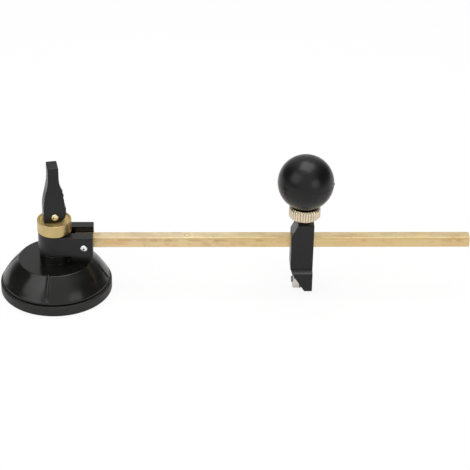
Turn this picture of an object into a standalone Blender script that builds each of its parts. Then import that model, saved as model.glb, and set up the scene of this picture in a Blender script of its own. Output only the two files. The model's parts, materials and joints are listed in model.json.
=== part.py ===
"""Suction-cup circle cutter for glass.

The rubber cup holds the tool at the circle's centre. An arm holder turns round the cup's collar and
carries a square brass bar, and a head with a six-wheel turret and a ball handle slides along the bar.
Metres, +Z up. The origin is on the cup's axis in the plane of the glass, and the bar lies along +X.
"""

import math

import bmesh
import bpy
from mathutils import Matrix, Vector

# Fits
SEAT_GAP = 0.0003
AXLE_GAP = 0.00015
CUTTER_OVERRUN = 0.002
MERGE_DISTANCE = 0.000001

# Rubber cup
CUP_RADIUS = 0.0303
CUP_BAND_HEIGHT = 0.0057
CUP_BAND_ROUND = 0.0008
CUP_LIP_WIDTH = 0.0018
CUP_SEAT_WIDTH = 0.0056
CUP_HOLLOW_DEPTH = 0.0052
CUP_WALL = 0.0024
CUP_BOSS_RADIUS = 0.0085
CUP_BOSS_WALL = 0.0023

# Bell housing
BELL_LIP_RADIUS = 0.0291
BELL_LIP_HEIGHT = 0.0009
BELL_CONE_HEIGHT = 0.0121
BELL_LEDGE_RADIUS = 0.0200
BELL_LEDGE_RISE = 0.0011
BELL_LEDGE_ROUND = 0.0006
BELL_WALL = 0.0022
BELL_NECK_RADIUS = 0.0087
BELL_NECK_HEIGHT = 0.0040
BELL_HUB_DROP = 0.0051
CHANNEL_DEPTH = 0.0005
CHANNEL_TURN = math.radians(5.4)
CHANNEL_START = math.radians(-98.7)
CHANNEL_COUNT = 4

# Arm holder
HOLDER_HEIGHT = 0.0116
HOLDER_RADIUS = 0.0090
HOLDER_REACH = 0.0208
HOLDER_EDGE = 0.0004
BAR_SIDE_GAP = 0.0004

# Brass collar
COLLAR_RADIUS = 0.00925
COLLAR_HEIGHT = 0.0069
COLLAR_WALL = 0.00105
COLLAR_FLOOR_DEPTH = 0.0005
COLLAR_EDGE = 0.0002
SHANK_RADIUS = 0.0050

# Draw stud
STUD_RADIUS = 0.0024
STUD_FLANGE_RADIUS = 0.0060
STUD_FLANGE_HEIGHT = 0.0014
TONGUE_HALF_WIDTH = 0.0020
TONGUE_HALF_THICKNESS = 0.0013

# Cam lever
LEVER_TURN = math.radians(11.0)
LEVER_BOTTOM_REACH = 0.0032
LEVER_SIDE_REACH = 0.0062
LEVER_WAIST_REACH = 0.0059
LEVER_STEM_HALF_WIDTH = 0.0029
LEVER_BASE_HALF_DEPTH = 0.00385
LEVER_TOP_HALF_DEPTH = 0.0036
LEVER_LENGTH = 0.0298
LEVER_TOP_SLOPE = 0.12
LEVER_WAIST_LEVEL = 0.0045
LEVER_STEM_LEVEL = 0.0235
LEVER_LOCK_LEVEL = 0.0049
LEVER_RELIEF_LEVEL = 0.0057
LEVER_RELIEF_TOP = 0.0093
LEVER_RELIEF_REACH = 0.0054
LEVER_CORNER = 0.0006
LEVER_EDGE = 0.0003

# Lever pin and bar pin
LEVER_PIN_RADIUS = 0.0010
LEVER_PIN_HEAD_RADIUS = 0.0020
LEVER_PIN_HEAD_HEIGHT = 0.0009
BAR_PIN_INSET = 0.0049
BAR_PIN_RADIUS = 0.0012
BAR_PIN_HEAD_RADIUS = 0.00195
BAR_PIN_HEAD_HEIGHT = 0.0009
PIN_DIMPLE_RADIUS = 0.0004
PIN_DIMPLE_DEPTH = 0.0004

# Bar
BAR_SIDE = 0.0060
BAR_LIFT = 0.0055
BAR_TAIL = 0.0050
BAR_END = 0.2252
BAR_EDGE = 0.0003

# Cutting head
HEAD_LEFT = 0.1278
HEAD_WIDTH = 0.01215
HEAD_FRONT = 0.0060
HEAD_BACK = 0.0052
HEAD_ABOVE_BAR = 0.0089
HEAD_BOTTOM = 0.0016
HEAD_EDGE = 0.00025
CROWN_WIDTH = 0.0034
CROWN_DROP = 0.0070
FOOT_FRONT = 0.0083
FOOT_HEIGHT = 0.0120
FOOT_LEDGE_DROP = 0.0009
FOOT_CUT_WIDTH = 0.00785
FOOT_CUT_HEIGHT = 0.0125
CHEEK_WALL = 0.0031

# Clamp: stud, nut, insert and pad
CLAMP_INSET = 0.0070
CLAMP_STUD_RADIUS = 0.0030
CLAMP_JOURNAL_RADIUS = 0.0024
CLAMP_JOURNAL_LENGTH = 0.0108
PAD_HEIGHT = 0.0016
INSERT_WALL = 0.0007
INSERT_HEIGHT = 0.0036
INSERT_COVER = 0.0030
NUT_STANDOFF = 0.0033
NUT_HEIGHT = 0.0061
NUT_RADIUS = 0.00856
NUT_TOP_SLOPE_WIDTH = 0.0009
NUT_TOP_SLOPE_HEIGHT = 0.0011
NUT_EDGE = 0.0003
KNURL_COUNT = 40
KNURL_DEPTH = 0.00045
KNURL_WIDTH = 0.0009

# Ball handle
BALL_RADIUS = 0.01515
BALL_FLAT_CUT = 0.00115
BUSH_WALL = 0.0015
BUSH_LENGTH = 0.0120

# Wheel turret
TURRET_INSET = 0.00165
TURRET_FRONT_SHIFT = 0.0016
TURRET_RADIUS = 0.0049
TURRET_THICKNESS = 0.00695
TURRET_GROOVE_PLACE = 0.00345
TURRET_GROOVE_WIDTH = 0.0010
TURRET_EDGE = 0.0005
COUNTERBORE_RADIUS = 0.0024
COUNTERBORE_DEPTH = 0.0011
TURRET_SCREW_RADIUS = 0.0011
TURRET_SCREW_HEAD_RADIUS = 0.0017
TURRET_SCREW_HEAD_HEIGHT = 0.0009
TURRET_SCREW_SLOT_WIDTH = 0.0005
TURRET_SCREW_SLOT_DEPTH = 0.0004
TURRET_SCREW_GRIP = 0.0027
WASHER_RADIUS = 0.0020
WASHER_HEIGHT = 0.0003
WHEEL_COUNT = 6
WHEEL_RADIUS = 0.0016
WHEEL_THICKNESS = 0.0007
WHEEL_BEVEL = 0.0003
WHEEL_CIRCLE_RADIUS = 0.0040
WHEEL_PIN_RADIUS = 0.0004

# Facets
LARGE_STEPS = 52
MIDDLE_STEPS = 36
SMALL_STEPS = 24
FINE_STEPS = 12
CURVE_STEPS = 8
CUP_CURVE_STEPS = 5
BAND_ROUND_STEPS = 3
CHANNEL_STEPS = 2
PIN_DOME_STEPS = 4
SHARP_ANGLE = math.radians(32)

# Places that several pieces share
BELL_BOTTOM = CUP_BAND_HEIGHT + SEAT_GAP
BELL_LIP_TOP = BELL_BOTTOM + BELL_LIP_HEIGHT
BELL_LEDGE_LEVEL = BELL_LIP_TOP + BELL_CONE_HEIGHT
BELL_NECK_BASE = BELL_LEDGE_LEVEL + BELL_LEDGE_RISE
BELL_NECK_TOP = BELL_NECK_BASE + BELL_NECK_HEIGHT
BELL_HUB_BOTTOM = BELL_NECK_BASE - BELL_HUB_DROP
HOLDER_BOTTOM = BELL_NECK_TOP + SEAT_GAP
HOLDER_TOP = HOLDER_BOTTOM + HOLDER_HEIGHT
COLLAR_BOTTOM = HOLDER_TOP + SEAT_GAP
COLLAR_TOP = COLLAR_BOTTOM + COLLAR_HEIGHT
COLLAR_FLOOR = COLLAR_TOP - COLLAR_FLOOR_DEPTH
STUD_BORE_RADIUS = STUD_RADIUS + SEAT_GAP
SHANK_BORE_RADIUS = SHANK_RADIUS + SEAT_GAP
STUD_FLANGE_BOTTOM = CUP_HOLLOW_DEPTH + CUP_WALL + SEAT_GAP
STUD_FLANGE_TOP = STUD_FLANGE_BOTTOM + STUD_FLANGE_HEIGHT
LEVER_PIN_LEVEL = COLLAR_FLOOR + SEAT_GAP + LEVER_BOTTOM_REACH
STUD_SHOULDER = LEVER_PIN_LEVEL - LEVER_SIDE_REACH - SEAT_GAP
BAR_PIN_PLACE = HOLDER_REACH - BAR_PIN_INSET
BAR_AXIS_LEVEL = HOLDER_BOTTOM + BAR_LIFT
BAR_HALF = BAR_SIDE / 2
BAR_TOP = BAR_AXIS_LEVEL + BAR_HALF
TUNNEL_HALF = BAR_HALF + SEAT_GAP
TUNNEL_ROOF = BAR_AXIS_LEVEL + TUNNEL_HALF
HEAD_RIGHT = HEAD_LEFT + HEAD_WIDTH
HEAD_TOP = BAR_TOP + HEAD_ABOVE_BAR
FOOT_LEDGE = HEAD_BOTTOM + FOOT_HEIGHT
PAD_TOP = TUNNEL_ROOF + PAD_HEIGHT
CLAMP_PLACE = HEAD_LEFT + CLAMP_INSET
CLAMP_TIP = PAD_TOP + SEAT_GAP
CLAMP_BORE_RADIUS = CLAMP_STUD_RADIUS + SEAT_GAP
INSERT_RADIUS = CLAMP_BORE_RADIUS + INSERT_WALL
NUT_BOTTOM = HEAD_TOP + NUT_STANDOFF
NUT_TOP = NUT_BOTTOM + NUT_HEIGHT
BUSH_BORE_RADIUS = CLAMP_JOURNAL_RADIUS + SEAT_GAP
BUSH_RADIUS = BUSH_BORE_RADIUS + BUSH_WALL
BALL_FLAT = NUT_TOP + SEAT_GAP
BALL_LEVEL = BALL_FLAT + BALL_RADIUS - BALL_FLAT_CUT
TURRET_CORE_RADIUS = WHEEL_CIRCLE_RADIUS - WHEEL_RADIUS - SEAT_GAP
TURRET_LEFT = HEAD_LEFT + TURRET_INSET
TURRET_REACH = WHEEL_CIRCLE_RADIUS + WHEEL_RADIUS
TURRET_AXIS = Vector((TURRET_LEFT, -TURRET_FRONT_SHIFT, TURRET_REACH))
WHEEL_PLANE = TURRET_LEFT + TURRET_GROOVE_PLACE + TURRET_GROOVE_WIDTH / 2
LEVER_PIN = Vector((0, 0, LEVER_PIN_LEVEL))
BAR_PIN = Vector((BAR_PIN_PLACE, 0, BAR_AXIS_LEVEL))
CLAMP_FOOT = Vector((CLAMP_PLACE, 0, 0))

ALONG_Z = Matrix.Identity(4)
ALONG_X = Matrix.Rotation(math.pi / 2, 4, "Y")
ALONG_Y = Matrix.Rotation(-math.pi / 2, 4, "X")

# Colours as linear red, green and blue, with roughness and metallic
FINISHES = {
    "rubber": ((0.030, 0.028, 0.026), 0.72, 0.0),
    "black_plastic": ((0.022, 0.021, 0.021), 0.48, 0.0),
    "ball_plastic": ((0.016, 0.016, 0.015), 0.30, 0.0),
    "bar_brass": ((0.56, 0.41, 0.20), 0.34, 1.0),
    "collar_brass": ((0.60, 0.44, 0.20), 0.36, 1.0),
    "pale_nickel": ((0.66, 0.60, 0.50), 0.30, 1.0),
    "steel": ((0.62, 0.62, 0.60), 0.28, 1.0),
    "carbide": ((0.16, 0.16, 0.17), 0.35, 1.0),
}


def clear_scene():
    """Remove every object that the file holds."""
    for thing in list(bpy.data.objects):
        bpy.data.objects.remove(thing, do_unlink=True)


def finish_material(name):
    """The Principled material of one finish, made once."""
    if name in bpy.data.materials:
        return bpy.data.materials[name]
    colour, roughness, metallic = FINISHES[name]
    material = bpy.data.materials.new(name)
    material.use_nodes = True
    shader = material.node_tree.nodes["Principled BSDF"]
    shader.inputs["Base Color"].default_value = (*colour, 1)
    shader.inputs["Roughness"].default_value = roughness
    shader.inputs["Metallic"].default_value = metallic
    material.diffuse_color = (*colour, 1)
    return material


def place(shape, name, finish, origin=Vector()):
    """Turn a bmesh drawn in world coordinates into an object whose origin is at the given point."""
    bmesh.ops.translate(shape, verts=shape.verts, vec=-origin)
    mesh = bpy.data.meshes.new(name)
    shape.to_mesh(mesh)
    shape.free()
    mesh.shade_smooth()
    mesh.set_sharp_from_angle(angle=SHARP_ANGLE)
    thing = bpy.data.objects.new(name, mesh)
    thing.location = origin
    thing.data.materials.append(finish_material(finish))
    bpy.context.scene.collection.objects.link(thing)
    return thing


def carry(parent, *children):
    """Parent pieces to the one that carries them, where they stand."""
    bpy.context.view_layer.update()
    for child in children:
        child.parent = parent
        child.matrix_parent_inverse = parent.matrix_world.inverted()


def combine(target, shape, operation):
    """Cut a shape from an object, or join it to it, and keep the helper as a hidden wire."""
    helper = place(shape, f"{target.name}_{operation.lower()}_{len(target.modifiers)}", "steel")
    helper.hide_render = True
    helper.display_type = "WIRE"
    modifier = target.modifiers.new(operation.title(), "BOOLEAN")
    modifier.operation = operation
    modifier.solver = "EXACT"
    modifier.object = helper
    carry(target, helper)


def turned(outline, steps, closed=False, turn=math.tau):
    """Spin an outline of (radius, height) points about Z: a closed ring, or a path that ends on it."""
    shape = bmesh.new()
    points = [shape.verts.new((radius, 0, height)) for radius, height in outline]
    ends = points[1:] + points[:1] if closed else points[1:]
    for start, end in zip(points, ends):
        shape.edges.new((start, end))
    geometry = shape.verts[:] + shape.edges[:]
    if turn < math.tau:
        geometry += [shape.faces.new(points)]
    bmesh.ops.spin(
        shape,
        geom=geometry,
        cent=(0, 0, 0),
        axis=(0, 0, 1),
        angle=turn,
        steps=steps,
        use_merge=turn == math.tau,
    )
    bmesh.ops.remove_doubles(shape, verts=shape.verts, dist=MERGE_DISTANCE)
    bmesh.ops.recalc_face_normals(shape, faces=shape.faces)
    return shape


def moved(shape, offset=Vector(), direction=ALONG_Z):
    """Turn a shape from Z to another axis, then shift it."""
    bmesh.ops.transform(shape, matrix=Matrix.Translation(offset) @ direction, verts=shape.verts)
    return shape


def gathered(shapes):
    """Several separate shapes in one."""
    whole = bmesh.new()
    for shape in shapes:
        mesh = bpy.data.meshes.new("shape")
        shape.to_mesh(mesh)
        shape.free()
        whole.from_mesh(mesh)
        bpy.data.meshes.remove(mesh)
    return whole


def prism(outline, low, high, upright=True):
    """Extrude an outline of (x, z) points along Y or, not upright, one of (x, y) points along Z."""
    shape = bmesh.new()
    flat = [Vector((a, low, b)) if upright else Vector((a, b, low)) for a, b in outline]
    face = shape.faces.new([shape.verts.new(point) for point in flat])
    grown = bmesh.ops.extrude_face_region(shape, geom=[face])["geom"]
    step = Vector((0, high - low, 0)) if upright else Vector((0, 0, high - low))
    tops = [item for item in grown if isinstance(item, bmesh.types.BMVert)]
    bmesh.ops.translate(shape, verts=tops, vec=step)
    bmesh.ops.recalc_face_normals(shape, faces=shape.faces)
    return shape


def block(low, high):
    """A box between two corners."""
    outline = [(low[0], low[2]), (high[0], low[2]), (high[0], high[2]), (low[0], high[2])]
    return prism(outline, low[1], high[1])


def rounded(shape, width, segments=2, keep=lambda edge: True):
    """Bevel the chosen edges of a shape."""
    edges = [edge for edge in shape.edges if keep(edge)]
    bmesh.ops.bevel(
        shape,
        geom=edges,
        offset=width,
        segments=segments,
        profile=0.5,
        affect="EDGES",
        clamp_overlap=True,
        material=-1,
    )
    return shape


def drill(radius, length, steps=SMALL_STEPS):
    """A cylinder that stands on the origin, for holes and shafts."""
    return turned([(0, 0), (radius, 0), (radius, length), (0, length)], steps)


def arc(centre, radius, start, end, steps):
    """Points along an arc of (across, up) coordinates, from one angle to another."""
    angles = [start + (end - start) * step / steps for step in range(steps + 1)]
    return [(centre[0] + radius * math.cos(a), centre[1] + radius * math.sin(a)) for a in angles]


def rubber_cup():
    """The rubber cup: a flat lip on the glass, a domed hollow and a boss round the stud's flange."""
    lip_outer = CUP_RADIUS - CUP_BAND_ROUND / 2
    lip_inner = lip_outer - CUP_LIP_WIDTH
    seat_inner = CUP_RADIUS - CUP_SEAT_WIDTH
    pocket_radius = STUD_FLANGE_RADIUS + SEAT_GAP
    pocket_floor = STUD_FLANGE_BOTTOM - SEAT_GAP
    pocket_roof = STUD_FLANGE_TOP + SEAT_GAP

    def hollow(radius):
        return CUP_HOLLOW_DEPTH * (1 - (radius / lip_inner) ** 2)

    shares = [step / CUP_CURVE_STEPS for step in range(CUP_CURVE_STEPS + 1)]
    inside = [(lip_inner * share, hollow(lip_inner * share)) for share in shares]
    dome = [seat_inner + (CUP_BOSS_RADIUS - seat_inner) * share for share in shares]
    outside = [(radius, hollow(radius) + CUP_WALL) for radius in dome]
    shoulder = (CUP_RADIUS - CUP_BAND_ROUND, CUP_BAND_HEIGHT - CUP_BAND_ROUND)
    outline = (
        inside
        + [(lip_outer, 0), (CUP_RADIUS, CUP_BAND_ROUND / 2)]
        + arc(shoulder, CUP_BAND_ROUND, 0, math.pi / 2, BAND_ROUND_STEPS)
        + [(seat_inner, CUP_BAND_HEIGHT)]
        + outside
        + [
            (CUP_BOSS_RADIUS, pocket_roof + CUP_BOSS_WALL),
            (STUD_BORE_RADIUS, pocket_roof + CUP_BOSS_WALL),
            (STUD_BORE_RADIUS, pocket_roof),
            (pocket_radius, pocket_roof),
            (pocket_radius, pocket_floor),
            (0, pocket_floor),
        ]
    )
    return place(turned(outline, LARGE_STEPS), "rubber_cup", "rubber")


def cone_radius(level):
    """The bell's outer radius at a height on its cone."""
    share = (level - BELL_LIP_TOP) / (BELL_LEDGE_LEVEL - BELL_LIP_TOP)
    return BELL_LIP_RADIUS + (BELL_LEDGE_RADIUS - BELL_LIP_RADIUS) * share


def bell_channels():
    """Cutters for the radial channels, each a sector of a band that follows the cone."""
    bottom = BELL_LIP_TOP + CHANNEL_DEPTH
    top = BELL_LEDGE_LEVEL + CUTTER_OVERRUN
    band = [
        (cone_radius(bottom) - CHANNEL_DEPTH, bottom),
        (cone_radius(bottom) + CUTTER_OVERRUN, bottom),
        (cone_radius(top) + CUTTER_OVERRUN, top),
        (cone_radius(top) - CHANNEL_DEPTH, top),
    ]
    sectors = []
    for number in range(CHANNEL_COUNT):
        heading = CHANNEL_START - CHANNEL_TURN / 2 + math.tau * number / CHANNEL_COUNT
        sector = turned(band, CHANNEL_STEPS, closed=True, turn=CHANNEL_TURN)
        sectors.append(moved(sector, direction=Matrix.Rotation(heading, 4, "Z")))
    return gathered(sectors)


def bell_housing():
    """The bell over the cup: lip, cone, ledge and neck, hollow below, with a hub for the collar's shank."""
    cone_height = BELL_LEDGE_LEVEL - BELL_LIP_TOP
    cone_length = math.hypot(cone_height, BELL_LIP_RADIUS - BELL_LEDGE_RADIUS)
    level_wall = BELL_WALL * cone_length / cone_height
    roof = BELL_LEDGE_LEVEL - BELL_WALL
    hub_radius = BELL_NECK_RADIUS - SEAT_GAP
    edge = BELL_LEDGE_ROUND
    outline = [
        (BELL_LIP_RADIUS, BELL_BOTTOM),
        (BELL_LIP_RADIUS, BELL_LIP_TOP),
        (cone_radius(BELL_LEDGE_LEVEL - edge), BELL_LEDGE_LEVEL - edge),
        (BELL_LEDGE_RADIUS - edge, BELL_LEDGE_LEVEL),
        (BELL_NECK_RADIUS, BELL_NECK_BASE),
        (BELL_NECK_RADIUS, BELL_NECK_TOP),
        (SHANK_BORE_RADIUS, BELL_NECK_TOP),
        (SHANK_BORE_RADIUS, BELL_HUB_BOTTOM),
        (hub_radius, BELL_HUB_BOTTOM),
        (hub_radius, BELL_NECK_BASE - BELL_WALL),
        (cone_radius(roof) - level_wall, roof),
        (cone_radius(BELL_BOTTOM) - level_wall, BELL_BOTTOM),
    ]
    bell = place(turned(outline, LARGE_STEPS, closed=True), "bell_housing", "rubber")
    combine(bell, bell_channels(), "DIFFERENCE")
    return bell


def collar():
    """The brass collar: a cup whose floor the cam bears on, and a shank that the arm turns round."""
    rim = COLLAR_RADIUS - COLLAR_WALL
    edge = COLLAR_EDGE
    outline = [
        (STUD_BORE_RADIUS, COLLAR_FLOOR),
        (rim, COLLAR_FLOOR),
        (rim, COLLAR_TOP - edge),
        (rim + edge, COLLAR_TOP),
        (COLLAR_RADIUS - edge, COLLAR_TOP),
        (COLLAR_RADIUS, COLLAR_TOP - edge),
        (COLLAR_RADIUS, COLLAR_BOTTOM + edge),
        (COLLAR_RADIUS - edge, COLLAR_BOTTOM),
        (SHANK_RADIUS, COLLAR_BOTTOM),
        (SHANK_RADIUS, BELL_HUB_BOTTOM),
        (STUD_BORE_RADIUS, BELL_HUB_BOTTOM),
    ]
    return place(turned(outline, MIDDLE_STEPS, closed=True), "brass_collar", "collar_brass")


def draw_stud():
    """The stud that pulls the cup's centre up: a flange, a rod and a flat tongue for the lever pin."""
    outline = [
        (0, STUD_FLANGE_BOTTOM),
        (STUD_FLANGE_RADIUS, STUD_FLANGE_BOTTOM),
        (STUD_FLANGE_RADIUS, STUD_FLANGE_TOP),
        (STUD_RADIUS, STUD_FLANGE_TOP),
        (STUD_RADIUS, STUD_SHOULDER),
        (0, STUD_SHOULDER),
    ]
    stud = place(turned(outline, SMALL_STEPS), "draw_stud", "steel", LEVER_PIN)
    root = STUD_SHOULDER - STUD_RADIUS
    tip = arc((0, LEVER_PIN_LEVEL), TONGUE_HALF_WIDTH, 0, math.pi, CURVE_STEPS)
    outline = [(-TONGUE_HALF_WIDTH, root), (TONGUE_HALF_WIDTH, root), *tip]
    tongue = prism(outline, -TONGUE_HALF_THICKNESS, TONGUE_HALF_THICKNESS)
    combine(stud, moved(tongue, direction=Matrix.Rotation(LEVER_TURN, 4, "Z")), "UNION")
    hole = cross_hole(LEVER_PIN_RADIUS + SEAT_GAP, TONGUE_HALF_THICKNESS + CUTTER_OVERRUN)
    combine(stud, facing_lever(hole), "DIFFERENCE")
    return stud


def cross_hole(radius, half_length, steps=SMALL_STEPS):
    """A cylinder along Y, centred on the origin."""
    return moved(drill(radius, 2 * half_length, steps), Vector((0, -half_length, 0)), ALONG_Y)


def facing_lever(shape):
    """Turn a shape drawn about the lever pin to the lever's heading and lift it to the pin."""
    return moved(shape, LEVER_PIN, Matrix.Rotation(LEVER_TURN, 4, "Z"))


def lever_half_width(level):
    """The lever's half width above the waist, easing from the base to the stem."""
    share = (level - LEVER_WAIST_LEVEL) / (LEVER_STEM_LEVEL - LEVER_WAIST_LEVEL)
    share = min(max(share, 0), 1)
    ease = share * share * (3 - 2 * share)
    return LEVER_WAIST_REACH + (LEVER_STEM_HALF_WIDTH - LEVER_WAIST_REACH) * ease


def cam_curve():
    """The cam from the lever's bottom to its side, whose reach grows evenly with the turn."""
    rate = (LEVER_SIDE_REACH - LEVER_BOTTOM_REACH) / (math.pi / 2)
    points = []
    for step in range(CURVE_STEPS + 1):
        turn = math.pi / 2 * (1 - step / CURVE_STEPS)
        reach = LEVER_BOTTOM_REACH + rate * turn
        across = reach * math.sin(turn) + rate * math.cos(turn)
        points.append((across, rate * math.sin(turn) - reach * math.cos(turn)))
    return points


def lever_outline():
    """The lever seen from the front, about its pin, clockwise from the lower left corner."""
    flare = LEVER_STEM_LEVEL - LEVER_WAIST_LEVEL
    levels = [LEVER_WAIST_LEVEL + flare * step / CURVE_STEPS for step in range(CURVE_STEPS + 1)]
    left = [(-lever_half_width(level), level) for level in levels]
    above = [level for level in reversed(levels) if level > LEVER_RELIEF_TOP]
    right = [(lever_half_width(level), level) for level in above]
    stem = LEVER_STEM_HALF_WIDTH
    return (
        [(-LEVER_WAIST_REACH + LEVER_CORNER, -LEVER_BOTTOM_REACH)]
        + [(-LEVER_WAIST_REACH, -LEVER_BOTTOM_REACH + LEVER_CORNER)]
        + left
        + [(-stem, LEVER_LENGTH - LEVER_CORNER), (-stem + LEVER_CORNER, LEVER_LENGTH)]
        + [(stem - LEVER_CORNER, LEVER_LENGTH), (stem, LEVER_LENGTH - LEVER_CORNER)]
        + right
        + [(LEVER_RELIEF_REACH, LEVER_RELIEF_TOP), (LEVER_RELIEF_REACH, LEVER_RELIEF_LEVEL)]
        + [(LEVER_SIDE_REACH, LEVER_LOCK_LEVEL)]
        + cam_curve()
    )


def cam_lever():
    """The black lever: a cam foot, slotted for the stud's tongue, and a flat stem that thins to the top."""
    shape = prism(lever_outline(), -LEVER_BASE_HALF_DEPTH, LEVER_BASE_HALF_DEPTH)
    thinning = (LEVER_BASE_HALF_DEPTH - LEVER_TOP_HALF_DEPTH) / (LEVER_LENGTH + LEVER_BOTTOM_REACH)
    for vertex in shape.verts:
        if vertex.co.z > LEVER_STEM_LEVEL + LEVER_CORNER:
            vertex.co.z += LEVER_TOP_SLOPE * vertex.co.y
        lift = vertex.co.z + LEVER_BOTTOM_REACH
        vertex.co.y -= math.copysign(thinning * lift, vertex.co.y)
    rounded(shape, LEVER_EDGE, 1, lambda edge: edge.verts[0].co.y * edge.verts[1].co.y > 0)
    lever = place(facing_lever(shape), "cam_lever", "black_plastic", LEVER_PIN)
    slot_half = TONGUE_HALF_THICKNESS + SEAT_GAP
    slot_left = -TONGUE_HALF_WIDTH - SEAT_GAP
    slot_top = TONGUE_HALF_WIDTH + SEAT_GAP
    low = (slot_left, -slot_half, -LEVER_BOTTOM_REACH - CUTTER_OVERRUN)
    high = (LEVER_SIDE_REACH + CUTTER_OVERRUN, slot_half, slot_top)
    combine(lever, facing_lever(block(low, high)), "DIFFERENCE")
    hole = cross_hole(LEVER_PIN_RADIUS + SEAT_GAP, LEVER_BASE_HALF_DEPTH + CUTTER_OVERRUN)
    combine(lever, facing_lever(hole), "DIFFERENCE")
    return lever


def rivet(shank_radius, half_grip, head_radius, head_height):
    """A pin along Y with a domed, dimpled head at each end."""

    def head(side):
        dome = []
        for step in range(PIN_DOME_STEPS):
            turn = math.pi / 2 * step / PIN_DOME_STEPS
            dome.append((head_radius * math.cos(turn), side * (half_grip + head_height * math.sin(turn))))
        crown = half_grip + head_height
        return [*dome, (PIN_DIMPLE_RADIUS, side * crown), (0, side * (crown - PIN_DIMPLE_DEPTH))]

    outline = list(reversed(head(-1))) + [(shank_radius, -half_grip), (shank_radius, half_grip)] + head(1)
    return moved(turned(outline, FINE_STEPS), direction=ALONG_Y)


def lever_pin():
    """The brass pin through the lever and the stud's tongue."""
    half_grip = LEVER_BASE_HALF_DEPTH + SEAT_GAP
    shape = rivet(LEVER_PIN_RADIUS, half_grip, LEVER_PIN_HEAD_RADIUS, LEVER_PIN_HEAD_HEIGHT)
    return place(facing_lever(shape), "lever_pin", "collar_brass", LEVER_PIN)


def arm_holder():
    """The black arm holder: a round hub on the shank and two cheeks that the bar tilts between."""
    hub = arc((0, 0), HOLDER_RADIUS, math.pi / 2, 3 * math.pi / 2, MIDDLE_STEPS // 2)
    outline = [*hub, (HOLDER_REACH, -HOLDER_RADIUS), (HOLDER_REACH, HOLDER_RADIUS)]
    shape = rounded(prism(outline, HOLDER_BOTTOM, HOLDER_TOP, upright=False), HOLDER_EDGE)
    holder = place(shape, "arm_holder", "black_plastic")
    depth = HOLDER_HEIGHT + 2 * CUTTER_OVERRUN
    foot = HOLDER_BOTTOM - CUTTER_OVERRUN
    bore = moved(drill(SHANK_BORE_RADIUS, depth, MIDDLE_STEPS), Vector((0, 0, foot)))
    combine(holder, bore, "DIFFERENCE")
    slot_half = BAR_HALF + BAR_SIDE_GAP
    sweep = math.hypot(BAR_TAIL, BAR_HALF) + SEAT_GAP
    low = (BAR_PIN_PLACE - sweep, -slot_half, foot)
    high = (HOLDER_REACH + CUTTER_OVERRUN, slot_half, foot + depth)
    combine(holder, block(low, high), "DIFFERENCE")
    hole = cross_hole(BAR_PIN_RADIUS + SEAT_GAP, HOLDER_RADIUS + CUTTER_OVERRUN)
    combine(holder, moved(hole, BAR_PIN), "DIFFERENCE")
    return holder


def bar_pin():
    """The bright rivet that the bar tilts on."""
    half_grip = HOLDER_RADIUS + SEAT_GAP
    shape = rivet(BAR_PIN_RADIUS, half_grip, BAR_PIN_HEAD_RADIUS, BAR_PIN_HEAD_HEIGHT)
    return place(moved(shape, BAR_PIN), "bar_pin", "steel", BAR_PIN)


def bar():
    """The square brass bar, drilled for its rivet."""
    low = (BAR_PIN_PLACE - BAR_TAIL, -BAR_HALF, BAR_AXIS_LEVEL - BAR_HALF)
    shape = rounded(block(low, (BAR_END, BAR_HALF, BAR_TOP)), BAR_EDGE, 1)
    rod = place(shape, "brass_bar", "bar_brass", BAR_PIN)
    hole = cross_hole(BAR_PIN_RADIUS + SEAT_GAP, BAR_HALF + CUTTER_OVERRUN)
    combine(rod, moved(hole, BAR_PIN), "DIFFERENCE")
    return rod


def head_bores():
    """The cutter for the clamp's bore, wider where the threaded insert is moulded in."""
    insert_top = HEAD_TOP - INSERT_COVER + SEAT_GAP
    insert_bottom = HEAD_TOP - INSERT_COVER - INSERT_HEIGHT - SEAT_GAP
    wide = INSERT_RADIUS + SEAT_GAP
    outline = [
        (0, BAR_AXIS_LEVEL),
        (CLAMP_BORE_RADIUS, BAR_AXIS_LEVEL),
        (CLAMP_BORE_RADIUS, insert_bottom),
        (wide, insert_bottom),
        (wide, insert_top),
        (CLAMP_BORE_RADIUS, insert_top),
        (CLAMP_BORE_RADIUS, HEAD_TOP + CUTTER_OVERRUN),
        (0, HEAD_TOP + CUTTER_OVERRUN),
    ]
    return moved(turned(outline, SMALL_STEPS), CLAMP_FOOT)


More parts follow.
